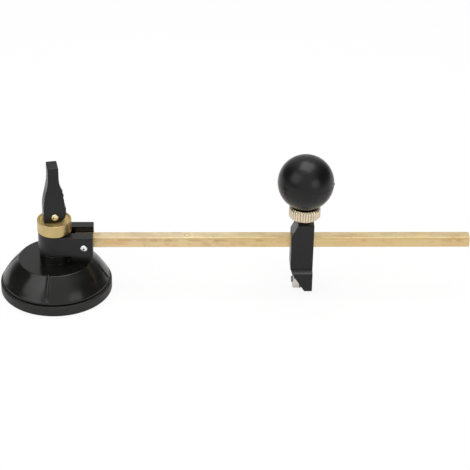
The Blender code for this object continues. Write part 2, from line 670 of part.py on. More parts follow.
def head_block():
    """The black head: a block on the bar with two cut corners and a stepped foot, open to the left and
    the back, that the turret stands in."""
    outline = [
        (HEAD_LEFT, HEAD_BOTTOM + FOOT_CUT_HEIGHT),
        (HEAD_LEFT, HEAD_TOP - CROWN_DROP),
        (HEAD_LEFT + CROWN_WIDTH, HEAD_TOP),
        (HEAD_RIGHT, HEAD_TOP),
        (HEAD_RIGHT, HEAD_BOTTOM),
        (HEAD_LEFT + FOOT_CUT_WIDTH, HEAD_BOTTOM),
    ]
    shape = rounded(prism(outline, -FOOT_FRONT, HEAD_BACK), HEAD_EDGE, 1)
    head = place(shape, "head_block", "black_plastic", CLAMP_FOOT)

    over = CUTTER_OVERRUN
    quarter = Matrix.Rotation(-math.pi / 2, 4, "Z")
    slope = FOOT_LEDGE_DROP / (FOOT_FRONT - HEAD_FRONT)
    step = [
        (HEAD_FRONT, FOOT_LEDGE),
        (FOOT_FRONT + over, FOOT_LEDGE - FOOT_LEDGE_DROP - slope * over),
        (FOOT_FRONT + over, HEAD_TOP + over),
        (HEAD_FRONT, HEAD_TOP + over),
    ]
    above_foot = prism(step, HEAD_LEFT - over, HEAD_RIGHT + over)
    combine(head, moved(above_foot, direction=quarter), "DIFFERENCE")

    low = (HEAD_LEFT - over, -TUNNEL_HALF, BAR_AXIS_LEVEL - TUNNEL_HALF)
    combine(head, block(low, (HEAD_RIGHT + over, TUNNEL_HALF, TUNNEL_ROOF)), "DIFFERENCE")
    combine(head, head_bores(), "DIFFERENCE")

    sweep = TURRET_REACH + SEAT_GAP
    low = (HEAD_LEFT - over, TURRET_AXIS.y - sweep, HEAD_BOTTOM - over)
    high = (HEAD_RIGHT - CHEEK_WALL, HEAD_BACK + over, TURRET_AXIS.z + sweep)
    combine(head, block(low, high), "DIFFERENCE")

    reach = TURRET_THICKNESS + TURRET_SCREW_GRIP + SEAT_GAP
    hole = moved(drill(TURRET_SCREW_RADIUS + SEAT_GAP, reach), TURRET_AXIS, ALONG_X)
    combine(head, hole, "DIFFERENCE")
    return head


def thread_insert():
    """The brass sleeve, moulded into the head, that the clamp stud screws through."""
    top = HEAD_TOP - INSERT_COVER
    inner = CLAMP_BORE_RADIUS
    bottom = top - INSERT_HEIGHT
    outline = [(inner, bottom), (INSERT_RADIUS, bottom), (INSERT_RADIUS, top), (inner, top)]
    shape = moved(turned(outline, SMALL_STEPS, closed=True), CLAMP_FOOT)
    return place(shape, "thread_insert", "collar_brass", CLAMP_FOOT)


def clamp_pad():
    """The brass slug that the clamp stud presses on the bar."""
    seat = CLAMP_FOOT + Vector((0, 0, TUNNEL_ROOF))
    shape = moved(drill(CLAMP_STUD_RADIUS, PAD_HEIGHT), seat)
    return place(shape, "clamp_pad", "collar_brass", CLAMP_FOOT)


def clamp_stud():
    """The clamp stud: its thread from the pad to the nut's top, and the journal that the ball turns on."""
    journal_top = NUT_TOP + CLAMP_JOURNAL_LENGTH
    edge = NUT_EDGE
    outline = [
        (0, CLAMP_TIP),
        (CLAMP_STUD_RADIUS - edge, CLAMP_TIP),
        (CLAMP_STUD_RADIUS, CLAMP_TIP + edge),
        (CLAMP_STUD_RADIUS, NUT_TOP),
        (CLAMP_JOURNAL_RADIUS, NUT_TOP),
        (CLAMP_JOURNAL_RADIUS, journal_top - edge),
        (CLAMP_JOURNAL_RADIUS - edge, journal_top),
        (0, journal_top),
    ]
    shape = moved(turned(outline, SMALL_STEPS), CLAMP_FOOT)
    return place(shape, "clamp_stud", "steel", CLAMP_FOOT)


def knurl_cutters():
    """One V-shaped cutter for each groove of the straight knurl round the nut."""
    inner = NUT_RADIUS - KNURL_DEPTH
    outer = NUT_RADIUS + KNURL_DEPTH
    tooth = [(inner, 0), (outer, -KNURL_WIDTH), (outer, KNURL_WIDTH)]
    grooves = []
    for number in range(KNURL_COUNT):
        groove = prism(tooth, NUT_BOTTOM - CUTTER_OVERRUN, NUT_TOP + CUTTER_OVERRUN, upright=False)
        heading = Matrix.Rotation(math.tau * (number + 0.5) / KNURL_COUNT, 4, "Z")
        grooves.append(moved(groove, CLAMP_FOOT, heading))
    return gathered(grooves)


def knurled_nut():
    """The knurled nut that turns the clamp stud, with a sloped top edge under the ball."""
    edge = NUT_EDGE
    outline = [
        (CLAMP_BORE_RADIUS, NUT_BOTTOM),
        (NUT_RADIUS - edge, NUT_BOTTOM),
        (NUT_RADIUS, NUT_BOTTOM + edge),
        (NUT_RADIUS, NUT_TOP - NUT_TOP_SLOPE_HEIGHT),
        (NUT_RADIUS - NUT_TOP_SLOPE_WIDTH, NUT_TOP),
        (CLAMP_BORE_RADIUS, NUT_TOP),
    ]
    shape = moved(turned(outline, 2 * KNURL_COUNT, closed=True), CLAMP_FOOT)
    nut = place(shape, "knurled_nut", "pale_nickel", CLAMP_FOOT)
    combine(nut, knurl_cutters(), "DIFFERENCE")
    return nut


def ball_handle():
    """The black ball, flat underneath, with a socket for its bush."""
    dip = math.asin((BALL_FLAT - BALL_LEVEL) / BALL_RADIUS)
    skin = arc((0, BALL_LEVEL), BALL_RADIUS, dip, math.pi / 2, SMALL_STEPS)
    socket = BUSH_RADIUS + SEAT_GAP
    socket_top = BALL_FLAT + BUSH_LENGTH + SEAT_GAP
    outline = [(0, socket_top), (socket, socket_top), (socket, BALL_FLAT), *skin[:-1], (0, skin[-1][1])]
    shape = moved(turned(outline, MIDDLE_STEPS), CLAMP_FOOT)
    return place(shape, "ball_handle", "ball_plastic", CLAMP_FOOT)


def ball_bush():
    """The brass bush in the ball, which turns on the stud's journal."""
    top = BALL_FLAT + BUSH_LENGTH
    inner = BUSH_BORE_RADIUS
    outline = [(inner, BALL_FLAT), (BUSH_RADIUS, BALL_FLAT), (BUSH_RADIUS, top), (inner, top)]
    shape = moved(turned(outline, SMALL_STEPS, closed=True), CLAMP_FOOT)
    return place(shape, "ball_bush", "collar_brass", CLAMP_FOOT)


def wheel_centre(number):
    """The centre of one cutting wheel, the first one standing on the glass."""
    turn = math.tau * number / WHEEL_COUNT - math.pi / 2
    across = TURRET_AXIS.y + WHEEL_CIRCLE_RADIUS * math.cos(turn)
    return Vector((WHEEL_PLANE, across, TURRET_AXIS.z + WHEEL_CIRCLE_RADIUS * math.sin(turn)))


def along_turret(outline, steps, closed=False):
    """A turned shape whose heights run along X from the turret's left face."""
    return moved(turned(outline, steps, closed), TURRET_AXIS, ALONG_X)


def wheel_turret():
    """The turret: two flanges, a groove between them for the wheels and a counterbore for its screw."""
    bore = TURRET_SCREW_RADIUS + SEAT_GAP
    groove_left = TURRET_GROOVE_PLACE
    groove_right = TURRET_GROOVE_PLACE + TURRET_GROOVE_WIDTH
    edge = TURRET_EDGE
    outline = [
        (bore, COUNTERBORE_DEPTH),
        (COUNTERBORE_RADIUS, COUNTERBORE_DEPTH),
        (COUNTERBORE_RADIUS, 0),
        (TURRET_RADIUS - edge, 0),
        (TURRET_RADIUS, edge),
        (TURRET_RADIUS, groove_left),
        (TURRET_CORE_RADIUS, groove_left),
        (TURRET_CORE_RADIUS, groove_right),
        (TURRET_RADIUS, groove_right),
        (TURRET_RADIUS, TURRET_THICKNESS - edge),
        (TURRET_RADIUS - edge, TURRET_THICKNESS),
        (bore, TURRET_THICKNESS),
    ]
    turret = place(along_turret(outline, SMALL_STEPS, True), "wheel_turret", "steel", TURRET_AXIS)
    holes = []
    for number in range(WHEEL_COUNT):
        centre = wheel_centre(number)
        hole = drill(WHEEL_PIN_RADIUS + AXLE_GAP, TURRET_THICKNESS + 2 * CUTTER_OVERRUN, FINE_STEPS)
        holes.append(moved(hole, Vector((TURRET_LEFT - CUTTER_OVERRUN, centre.y, centre.z)), ALONG_X))
    combine(turret, gathered(holes), "DIFFERENCE")
    return turret


def turret_washer():
    """The thin washer between the screw's head and the turret."""
    bore = TURRET_SCREW_RADIUS + SEAT_GAP
    top = COUNTERBORE_DEPTH - SEAT_GAP
    bottom = top - WASHER_HEIGHT
    outline = [(bore, bottom), (WASHER_RADIUS, bottom), (WASHER_RADIUS, top), (bore, top)]
    return place(along_turret(outline, SMALL_STEPS, True), "turret_washer", "steel", TURRET_AXIS)


def turret_screw():
    """The slotted screw that the turret turns on, held in the head's cheek."""
    under = COUNTERBORE_DEPTH - WASHER_HEIGHT - 2 * SEAT_GAP
    crown = under - TURRET_SCREW_HEAD_HEIGHT
    end = TURRET_THICKNESS + TURRET_SCREW_GRIP
    outline = [
        (0, crown),
        (TURRET_SCREW_HEAD_RADIUS, crown),
        (TURRET_SCREW_HEAD_RADIUS, under),
        (TURRET_SCREW_RADIUS, under),
        (TURRET_SCREW_RADIUS, end),
        (0, end),
    ]
    screw = place(along_turret(outline, SMALL_STEPS), "turret_screw", "steel", TURRET_AXIS)
    half = TURRET_SCREW_SLOT_WIDTH / 2
    reach = TURRET_SCREW_HEAD_RADIUS + CUTTER_OVERRUN
    low = (crown - CUTTER_OVERRUN, -reach, -half)
    slot = block(low, (crown + TURRET_SCREW_SLOT_DEPTH, reach, half))
    combine(screw, moved(slot, TURRET_AXIS), "DIFFERENCE")
    return screw


def cutting_wheel(number):
    """One carbide wheel with a bevelled rim."""
    half = WHEEL_THICKNESS / 2
    shoulder = WHEEL_RADIUS - WHEEL_BEVEL
    bore = WHEEL_PIN_RADIUS + AXLE_GAP
    outline = [(bore, -half), (shoulder, -half), (WHEEL_RADIUS, 0), (shoulder, half), (bore, half)]
    centre = wheel_centre(number)
    shape = moved(turned(outline, SMALL_STEPS, closed=True), centre, ALONG_X)
    return place(shape, f"wheel_{number + 1}", "carbide", centre)


def wheel_pin(number):
    """The axle pin of one wheel, across the turret's groove."""
    centre = wheel_centre(number)
    length = TURRET_THICKNESS - 2 * SEAT_GAP
    start = Vector((TURRET_LEFT + SEAT_GAP, centre.y, centre.z))
    shape = moved(drill(WHEEL_PIN_RADIUS, length, FINE_STEPS), start, ALONG_X)
    return place(shape, f"wheel_pin_{number + 1}", "steel", centre)


def build_cutter():
    """Model every piece and hang each one on what carries it."""
    clear_scene()
    bell = bell_housing()
    stud = draw_stud()
    lever = cam_lever()
    holder = arm_holder()
    rod = bar()
    head = head_block()
    stem = clamp_stud()
    ball = ball_handle()
    turret = wheel_turret()
    carry(bell, rubber_cup(), collar(), stud, holder)
    carry(stud, lever, lever_pin())
    carry(holder, rod, bar_pin())
    carry(rod, head)
    carry(head, thread_insert(), clamp_pad(), stem, turret, turret_screw(), turret_washer())
    carry(stem, knurled_nut(), ball)
    carry(ball, ball_bush())
    for number in range(WHEEL_COUNT):
        carry(turret, cutting_wheel(number), wheel_pin(number))


build_cutter()
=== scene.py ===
"""Circle cutter for glass, dressed round its packed frame.

Each visible piece is modelled finely in the place of its plain solid, rides on the body that carries it, and gets
its finish from nodes that read Object coordinates. Metres, +Z up, with the bar along +X.
"""

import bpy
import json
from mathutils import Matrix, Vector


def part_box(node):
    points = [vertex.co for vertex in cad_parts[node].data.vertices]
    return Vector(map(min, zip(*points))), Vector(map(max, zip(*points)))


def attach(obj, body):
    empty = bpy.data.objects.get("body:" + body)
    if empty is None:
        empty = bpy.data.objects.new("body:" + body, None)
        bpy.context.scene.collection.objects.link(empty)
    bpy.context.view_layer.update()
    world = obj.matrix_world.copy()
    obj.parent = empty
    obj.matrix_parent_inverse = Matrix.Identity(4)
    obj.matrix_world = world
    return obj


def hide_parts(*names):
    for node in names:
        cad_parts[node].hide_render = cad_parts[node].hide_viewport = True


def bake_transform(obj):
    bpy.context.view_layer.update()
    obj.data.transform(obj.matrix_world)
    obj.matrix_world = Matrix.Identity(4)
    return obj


bl_info = {
    "name": "Circle Cutter",
    "version": (1, 0, 0),
    "blender": (4, 5, 0),
    "location": "3D View > Sidebar > Circle Cutter",
    "description": "Models and finishes the pieces of a suction-cup circle cutter",
    "category": "Object",
}

import functools
import json
import math

import bmesh
import bpy
from bpy.props import FloatProperty, FloatVectorProperty, IntProperty, PointerProperty
from mathutils import Matrix, Vector

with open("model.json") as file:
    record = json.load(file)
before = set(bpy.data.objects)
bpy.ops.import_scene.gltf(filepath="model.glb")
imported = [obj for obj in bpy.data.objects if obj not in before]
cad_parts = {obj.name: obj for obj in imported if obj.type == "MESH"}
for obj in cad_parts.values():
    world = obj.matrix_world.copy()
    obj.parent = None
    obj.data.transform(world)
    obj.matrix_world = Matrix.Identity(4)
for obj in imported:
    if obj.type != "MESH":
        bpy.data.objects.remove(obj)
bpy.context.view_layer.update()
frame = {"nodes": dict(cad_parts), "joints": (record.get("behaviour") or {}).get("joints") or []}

# Places given by the frame
JOINTS = {joint["name"]: joint for joint in frame["joints"]}
CUP_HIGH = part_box("rubber_cup")[1]
BELL_LOW, BELL_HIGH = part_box("bell_housing")
COLLAR_LOW, COLLAR_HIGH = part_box("brass_collar")
STUD_LOW, STUD_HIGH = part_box("draw_stud")
HOLDER_LOW, HOLDER_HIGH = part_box("arm_holder")
BAR_LOW, BAR_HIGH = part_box("brass_bar")
HEAD_LOW, HEAD_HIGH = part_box("head_block")
CLAMP_LOW, CLAMP_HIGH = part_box("clamp_stud")
NUT_LOW, NUT_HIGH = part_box("knurled_nut")
BALL_LOW, BALL_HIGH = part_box("ball_handle")
TURRET_LOW, TURRET_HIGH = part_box("wheel_turret")
SCREW_LOW, SCREW_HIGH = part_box("turret_screw")
WASHER_LOW, WASHER_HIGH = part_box("turret_washer")
LEVER_PIN = Vector(JOINTS["lever_flip"]["pos_m"])
LEVER_AXIS = Vector(JOINTS["lever_flip"]["axis"])
LEVER_TURN = math.atan2(-LEVER_AXIS.x, LEVER_AXIS.y)
BAR_PIN = Vector(JOINTS["bar_tilt"]["pos_m"])
CLAMP_AXIS = Vector((JOINTS["clamp_turn"]["pos_m"][0], 0, 0))
TURRET_AXIS = Vector(JOINTS["turret_index"]["pos_m"])
CLAMP_RADIUS = CLAMP_HIGH.x - CLAMP_AXIS.x
NUT_RADIUS = NUT_HIGH.x - CLAMP_AXIS.x
TURRET_LEFT = TURRET_LOW.x - TURRET_AXIS.x
TURRET_RIGHT = TURRET_HIGH.x - TURRET_AXIS.x
WHEEL_COUNT = 6

# Chips on the lever's front edges: side, height above the pin, and how far each stands out, or cuts in below zero
LEVER_CHIPS = ((-1, 0.01227, -0.0005), (-1, 0.01400, -0.0003), (1, 0.01314, 0.0003), (1, 0.01573, 0.0004))
CHIP_REACH = 0.0004

# Places on the ball's seam: heading and spread of a nib and of a proud stretch, in radians
SEAM_NIB = (-0.12, 0.07)
SEAM_PROUD = (-0.45, 0.35)

# The bell's cone swells from just above its lip to just under its ledge, outwards and a little up
SWELL_START = 0.0005
SWELL_END = 0.0008
SWELL_OUT = 0.8
SWELL_UP = 0.6

# The channels are cut as far in as these margins behind the ledge's edge and the cone, and fade in above the lip
LEDGE_MARGIN = 0.0020
CONE_MARGIN = 0.0008
FADE_START = 0.0003
FADE_HEIGHT = 0.0007

# Places along the bar of its stain and its ring mark, and where its handled end begins
STAIN = (0.0275, 0.0365)
RING_MARK = 0.0714
HANDLED = 0.118

# Sizes of the small turned parts, and how finely the knurl and the thread are divided
FLANGE_HEIGHT = 0.0014
FLANGE_POCKET = 0.0020
JOURNAL_RADIUS = 0.0024
SCREW_BORE = 0.0014
SCREW_SHANK = 0.0011
SCREW_HEAD_HEIGHT = 0.0009
SCREW_SLOT_DEPTH = 0.0004
SCREW_SLOT_HALF = 0.00025
SCREW_SLOT_TURN = math.radians(25)
COUNTERBORE_RADIUS = 0.0024
COUNTERBORE_DEPTH = 0.0011
WHEEL_BEVEL = 0.0003
WASHER_EDGE = 0.00005
DIMPLE_DEPTH = 0.00065
KNURL_STEPS = 10
THREAD_STEPS = 40

# Fits and working values
GAP = 0.0003
FLOOR_DROP = 0.00002
OVERRUN = 0.002
WELD = 0.000001
SHARP = math.radians(38)
CORNER = math.radians(55)
CUT_CORNER = math.radians(70)

ALONG_X = Matrix.Rotation(math.pi / 2, 4, "Y")
ALONG_Y = Matrix.Rotation(-math.pi / 2, 4, "X")


def colour(name, description, default):
    """A colour setting in linear red, green and blue."""
    return FloatVectorProperty(name=name, description=description, default=default, subtype="COLOR", min=0, max=1)


def length(name, description, default):
    """A length setting in metres."""
    return FloatProperty(name=name, description=description, default=default, unit="LENGTH", min=0, precision=5)


def turn(name, description, default):
    """An angle setting, given in degrees."""
    return FloatProperty(name=name, description=description, default=math.radians(default), subtype="ANGLE")


def share(name, description, default):
    """A setting from nothing to all."""
    return FloatProperty(name=name, description=description, default=default, subtype="FACTOR", min=0, max=1)


def watts(name, description, default):
    """A power setting."""
    return FloatProperty(name=name, description=description, default=default, unit="POWER", min=0)


class CupSettings(bpy.types.PropertyGroup):
    """The suction cup, its housing and the collar."""

    band_round: length("Band round", "Rounding of the rubber band's top edge", 0.0008)
    lip_width: length("Lip width", "Width of the flat lip on the glass", 0.0018)
    seat_width: length("Seat width", "Width of the band that the housing sits on", 0.0056)
    hollow_depth: length("Hollow depth", "Rise of the domed hollow under the cup", 0.0052)
    wall: length("Rubber wall", "Thickness of the dome", 0.0024)
    boss_radius: length("Boss radius", "Radius of the boss round the stud's flange", 0.0085)
    housing_lip: length("Housing lip", "Height of the upright lip round the housing", 0.0014)
    lip_round: length("Lip round", "Rounding of the lip's top edge", 0.00055)
    bulge: length("Bulge", "How far the cone swells between the lip and the ledge", 0.0005)
    ledge_radius: length("Ledge radius", "Outer radius of the ledge under the neck", 0.0200)
    ledge_drop: length("Ledge drop", "How far the ledge's edge lies under the neck's top", 0.0051)
    ledge_rise: length("Ledge rise", "How far the ledge climbs to the neck", 0.0002)
    neck_radius: length("Neck radius", "Radius of the housing's neck", 0.0087)
    housing_wall: length("Housing wall", "Thickness of the housing", 0.0022)
    channel_count: IntProperty(name="Channels", description="Channels down the cone", default=4, min=1)
    channel_start: turn("First channel", "Heading of the first channel", -98.0)
    channel_width: turn("Channel width", "Width of a channel, seen from above", 5.2)
    channel_depth: length("Channel depth", "Depth of a channel", 0.00065)
    channel_wall: share("Channel wall", "Part of a channel's width that each of its walls takes", 0.33)
    collar_wall: length("Collar wall", "Thickness of the collar's rim", 0.00105)
    collar_floor: length("Collar floor", "Depth of the collar's floor under its rim", 0.0005)
    shank_radius: length("Shank radius", "Radius of the collar's shank", 0.0050)


class LeverSettings(bpy.types.PropertyGroup):
    """The cam lever and its stud."""

    bottom_reach: length("Bottom reach", "Pin to the lever's foot when it stands up", 0.0032)
    side_reach: length("Side reach", "Pin to the lever's side, which bears when it lies down", 0.0062)
    lock_level: length("Lock level", "Pin to the end of the side that bears", 0.0049)
    relief: length("Relief", "Half width where the side clears the collar's rim", 0.0054)
    relief_level: length("Relief level", "Pin to the relief's lower end", 0.0057)
    relief_top: length("Relief top", "Pin to the relief's upper end", 0.0093)
    waist: length("Waist", "Half width where the flare begins", 0.0059)
    waist_level: length("Waist level", "Pin to the flare's lower end", 0.0045)
    stem: length("Stem", "Half width of the stem", 0.0029)
    stem_level: length("Stem level", "Pin to the flare's upper end", 0.0235)
    base_depth: length("Base depth", "Half depth at the foot", 0.00385)
    top_depth: length("Top depth", "Half depth at the top", 0.0036)
    height: length("Height", "Pin to the lever's top", 0.0298)
    top_slope: share("Top slope", "Rise of the lever's top towards the back", 0.12)
    edge: length("Edge", "Rounding of the lever's edges", 0.00045)
    tongue_width: length("Tongue width", "Half width of the stud's tongue", 0.0020)
    tongue_thickness: length("Tongue thickness", "Half thickness of the stud's tongue", 0.0013)
    rod_radius: length("Rod radius", "Radius of the draw stud", 0.0024)
    pin_radius: length("Pin radius", "Radius of the lever pin", 0.0010)


class ArmSettings(bpy.types.PropertyGroup):
    """The arm holder, the bar and its rivet."""

    holder_edge: length("Holder edge", "Rounding of the holder's edges", 0.00045)
    slot_gap: length("Slot gap", "Room between the bar and a cheek", 0.0004)
    slot_reach: length("Slot reach", "Extra length of the slot behind the bar's end", 0.0012)
    bar_edge: length("Bar edge", "Rounding of the bar's edges", 0.00018)
    rivet_radius: length("Rivet radius", "Radius of the rivet's shank", 0.0012)
    head_radius: length("Rivet head", "Radius of a rivet's head", 0.00195)
    head_height: length("Rivet head height", "Height of a rivet's head", 0.0009)
    dimple: length("Dimple", "Radius of the dimple in a rivet's head", 0.00055)


class HeadSettings(bpy.types.PropertyGroup):
    """The cutting head and its turret."""

    front: length("Front", "Depth of the head in front of the bar's axis", 0.0060)
    edge: length("Edge", "Rounding of the head's edges", 0.00035)
    crown_width: length("Crown width", "Width of the cut top corner", 0.0034)
    crown_drop: length("Crown drop", "Height of the cut top corner", 0.0070)
    foot_height: length("Foot height", "Height of the foot plate", 0.0120)
    ledge_drop: length("Ledge drop", "How far the foot's ledge rounds off to the front", 0.0012)
    foot_width: length("Foot cut width", "Width of the cut lower corner", 0.00785)
    foot_rise: length("Foot cut height", "Height of the cut lower corner", 0.0125)
    cheek: length("Cheek", "Thickness of the wall that holds the turret's screw", 0.0031)
    groove_place: length("Groove place", "Turret's left face to its groove", 0.00345)
    groove_width: length("Groove width", "Width of the groove for the wheels", 0.0010)
    wheel_radius: length("Wheel radius", "Radius of a cutting wheel", 0.0016)
    wheel_thickness: length("Wheel thickness", "Thickness of a cutting wheel", 0.0007)
    wheel_pin: length("Wheel pin", "Radius of a wheel's axle pin", 0.0004)


class ClampSettings(bpy.types.PropertyGroup):
    """The clamp's thread, the knurled nut and the ball."""

    pitch: length("Pitch", "Pitch of the clamp's thread", 0.0010)
    thread_depth: length("Thread depth", "Depth of the clamp's thread", 0.00045)
    knurl_count: IntProperty(name="Knurls", description="Ridges round the nut", default=34, min=8)
    knurl_depth: length("Knurl depth", "Depth of the straight knurl", 0.00045)
    slope_width: length("Slope width", "Width of the nut's sloped top edge", 0.0009)
    slope_height: length("Slope height", "Height of the nut's sloped top edge", 0.0013)
    seam_height: length("Seam height", "Height of the ball's moulding seam", 0.00005)
    flash_height: length("Flash height", "Height of the nib left on the seam", 0.00022)


class FinishSettings(bpy.types.PropertyGroup):
    """The colours of the cutter's finishes."""

    rubber: colour("Rubber", "Cup rubber", (0.0078, 0.0076, 0.0072))
    housing: colour("Housing", "Bell housing plastic", (0.0054, 0.0053, 0.0049))
    plastic: colour("Plastic", "Lever, arm holder and head plastic", (0.0046, 0.0044, 0.0046))
    ball: colour("Ball", "Ball handle plastic", (0.0042, 0.0042, 0.0041))
    bar: colour("Bar brass", "Drawn brass of the bar", (0.71, 0.555, 0.30))
    collar: colour("Collar brass", "Turned brass of the collar", (0.55, 0.42, 0.19))
    pin: colour("Pin brass", "Bright brass of pins and bushes", (0.78, 0.69, 0.40))
    nickel: colour("Nickel", "Warm nickel of the knurled nut", (0.74, 0.65, 0.50))
    steel: colour("Steel", "Bright steel of rivets and screws", (0.78, 0.78, 0.77))
    turret: colour("Turret steel", "Turned steel of the turret", (0.60, 0.57, 0.53))
    dark_steel: colour("Dark steel", "Blackened steel of the turret's screw", (0.16, 0.15, 0.14))
    thread: colour("Thread steel", "Yellow passivated steel of the clamp stud", (0.42, 0.36, 0.19))
    carbide: colour("Carbide", "Ground carbide of the wheels", (0.22, 0.22, 0.23))


class StageSettings(bpy.types.PropertyGroup):
    """The camera, the lamps and the floor."""

    yaw: turn("Yaw", "Heading of the view, clockwise from +Y", 2.37)
    pitch: turn("Pitch", "How far the view looks down", 31.0)
    roll: turn("Roll", "Turn of the picture", 1.16)
    distance: length("Distance", "Camera to the point it looks at", 0.9473)
    lens: FloatProperty(name="Lens", description="Focal length in millimetres", default=133.74, min=10)
    target: FloatVectorProperty(
        name="Target", description="Point that the camera looks at", default=(0.09746, 0, 0.03277), subtype="XYZ"
    )
    floor: colour("Floor", "Colour of the floor", (0.95, 0.95, 0.95))
    top_power: watts("Top power", "Power of the overhead softbox", 4.1)
    left_power: watts("Left power", "Power of the left softbox", 2.2)
    right_power: watts("Right power", "Power of the right softbox", 1.1)
    surround: share("Surround", "Brightness of the surround that lights the cutter", 0.50)


GROUPS = {
    "cutter_cup": CupSettings,
    "cutter_lever": LeverSettings,
    "cutter_arm": ArmSettings,
    "cutter_head": HeadSettings,
    "cutter_clamp": ClampSettings,
    "cutter_finish": FinishSettings,
    "cutter_stage": StageSettings,
}


def rounded(corners, steps=5):
    """A path of (across, up, round) corners, with each corner that has a round turned into an arc."""
    points = []
    for index, (across, up, radius) in enumerate(corners):
        here = Vector((across, up))
        if not radius:
            points.append((across, up))
            continue
        back = (Vector(corners[index - 1][:2]) - here).normalized()
        ahead = (Vector(corners[(index + 1) % len(corners)][:2]) - here).normalized()
        half = back.angle(ahead) / 2
        centre = here + (back + ahead).normalized() * radius / math.sin(half)
        start = here + back * radius / math.tan(half) - centre
        end = here + ahead * radius / math.tan(half) - centre
        first = math.atan2(start.y, start.x)
        sweep = math.remainder(math.atan2(end.y, end.x) - first, math.tau)
        for step in range(steps + 1):
            angle = first + sweep * step / steps
            points.append((centre.x + radius * math.cos(angle), centre.y + radius * math.sin(angle)))
    return points


def smooth(part):
    """Ease a part of the way, held between nothing and one."""
    part = min(max(part, 0), 1)
    return part * part * (3 - 2 * part)


def polar(shape):
    """Each vertex of a shape, with its distance from the Z axis and its heading."""
    for vertex in shape.verts:
        yield vertex, math.hypot(vertex.co.x, vertex.co.y), math.atan2(vertex.co.y, vertex.co.x)


def drawn_in(vertex, factor):
    """Scale a vertex's distance from the Z axis."""
    vertex.co.x *= factor
    vertex.co.y *= factor


def arc(centre, radius, start, end, steps):
    """Points along an arc of (across, up) coordinates, from one angle to another."""
    angles = [start + (end - start) * step / steps for step in range(steps + 1)]
    return [(centre[0] + radius * math.cos(a), centre[1] + radius * math.sin(a)) for a in angles]


def spun(points, steps, closed=True, sweeps=None):
    """Spin a path of (radius, height) points round Z, in one go or in (angle, steps) sweeps."""
    shape = bmesh.new()
    path = [shape.verts.new((radius, 0, height)) for radius, height in points]
    ends = path[1:] + path[:1] if closed else path[1:]
    moving = path + [shape.edges.new(pair) for pair in zip(path, ends)]
    for angle, count in sweeps or [(math.tau, steps)]:
        moving = bmesh.ops.spin(
            shape, geom=moving, cent=(0, 0, 0), axis=(0, 0, 1), angle=angle, steps=count, use_merge=sweeps is None
        )["geom_last"]
    bmesh.ops.remove_doubles(shape, verts=shape.verts, dist=WELD)
    bmesh.ops.recalc_face_normals(shape, faces=shape.faces)
    return shape


def moved(shape, offset=Vector(), direction=Matrix.Identity(4)):
    """Turn a shape from Z to another axis, then shift it."""
    bmesh.ops.transform(shape, matrix=Matrix.Translation(offset) @ direction, verts=shape.verts)
    return shape


def slab(outline, low, high, upright=True):
    """Extrude an outline of (x, z) points along Y or, not upright, one of (x, y) points along Z."""
    shape = bmesh.new()
    flat = [Vector((a, low, b)) if upright else Vector((a, b, low)) for a, b in outline]
    face = shape.faces.new([shape.verts.new(point) for point in flat])
    grown = bmesh.ops.extrude_face_region(shape, geom=[face])["geom"]
    step = Vector((0, high - low, 0)) if upright else Vector((0, 0, high - low))
    tops = [item for item in grown if isinstance(item, bmesh.types.BMVert)]
    bmesh.ops.translate(shape, verts=tops, vec=step)
    bmesh.ops.recalc_face_normals(shape, faces=shape.faces)
    return shape


def box(low, high):
    """A box between two corners."""
    return slab([(low[0], low[2]), (high[0], low[2]), (high[0], high[2]), (low[0], high[2])], low[1], high[1])


def post(radius, low, high, steps=48, edge=0.0):
    """A cylinder along Z with rounded ends."""
    corners = [(0, low, 0), (radius, low, edge), (radius, high, edge), (0, high, 0)]
    return spun(rounded(corners, 3), steps, closed=False)


def eased(shape, width, segments=3, least=CORNER, keep=lambda edge: True):
    """Bevel the edges that turn by more than an angle."""
    chosen = [e for e in shape.edges if e.is_manifold and e.calc_face_angle() > least and keep(e)]
    bmesh.ops.bevel(
        shape,
        geom=chosen,
        offset=width,
        segments=segments,
        profile=0.5,
        affect="EDGES",
        clamp_overlap=True,
        material=-1,
    )
    return shape


def loose(shape, name="shape"):
    """A plain object for a shape."""
    mesh = bpy.data.meshes.new(name)
    shape.to_mesh(mesh)
    shape.free()
    thing = bpy.data.objects.new(name, mesh)
    bpy.context.scene.collection.objects.link(thing)
    return thing


def carved(shape, *cutters, operation="DIFFERENCE"):
    """Cut shapes from a shape, or join them to it, and return the result as a shape."""
    body = loose(shape)
    tools = [loose(cutter) for cutter in cutters]
    for tool in tools:
        modifier = body.modifiers.new("Cut", "BOOLEAN")
        modifier.operation = operation
        modifier.solver = "EXACT"
        modifier.object = tool
    graph = bpy.context.evaluated_depsgraph_get()
    result = bpy.data.meshes.new_from_object(body.evaluated_get(graph))
    cut = bmesh.new()
    cut.from_mesh(result)
    bpy.data.meshes.remove(result)
    for thing in [body, *tools]:
        mesh = thing.data
        bpy.data.objects.remove(thing)
        bpy.data.meshes.remove(mesh)
    bmesh.ops.remove_doubles(cut, verts=cut.verts, dist=WELD)
    bmesh.ops.dissolve_degenerate(cut, edges=cut.edges, dist=WELD)
    return cut


def finished(name, shape, material, sharp=SHARP):
    """The object of a shape, smooth between its sharp edges."""
    thing = loose(shape, name)
    thing.data.shade_smooth()
    thing.data.set_sharp_from_angle(angle=sharp)
    thing.data.materials.append(material)
    return thing


def piece(name, shape, look, body, slot, *nodes, sharp=SHARP):
    """Make the finished object of a shape, on its body and in the place of its plain solids."""
    thing = finished(name, shape, finish(look), sharp)
    thing.modifiers.new("Flat faces", "WEIGHTED_NORMAL").keep_sharp = True
    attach(thing, body)
    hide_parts(*nodes)
    return thing


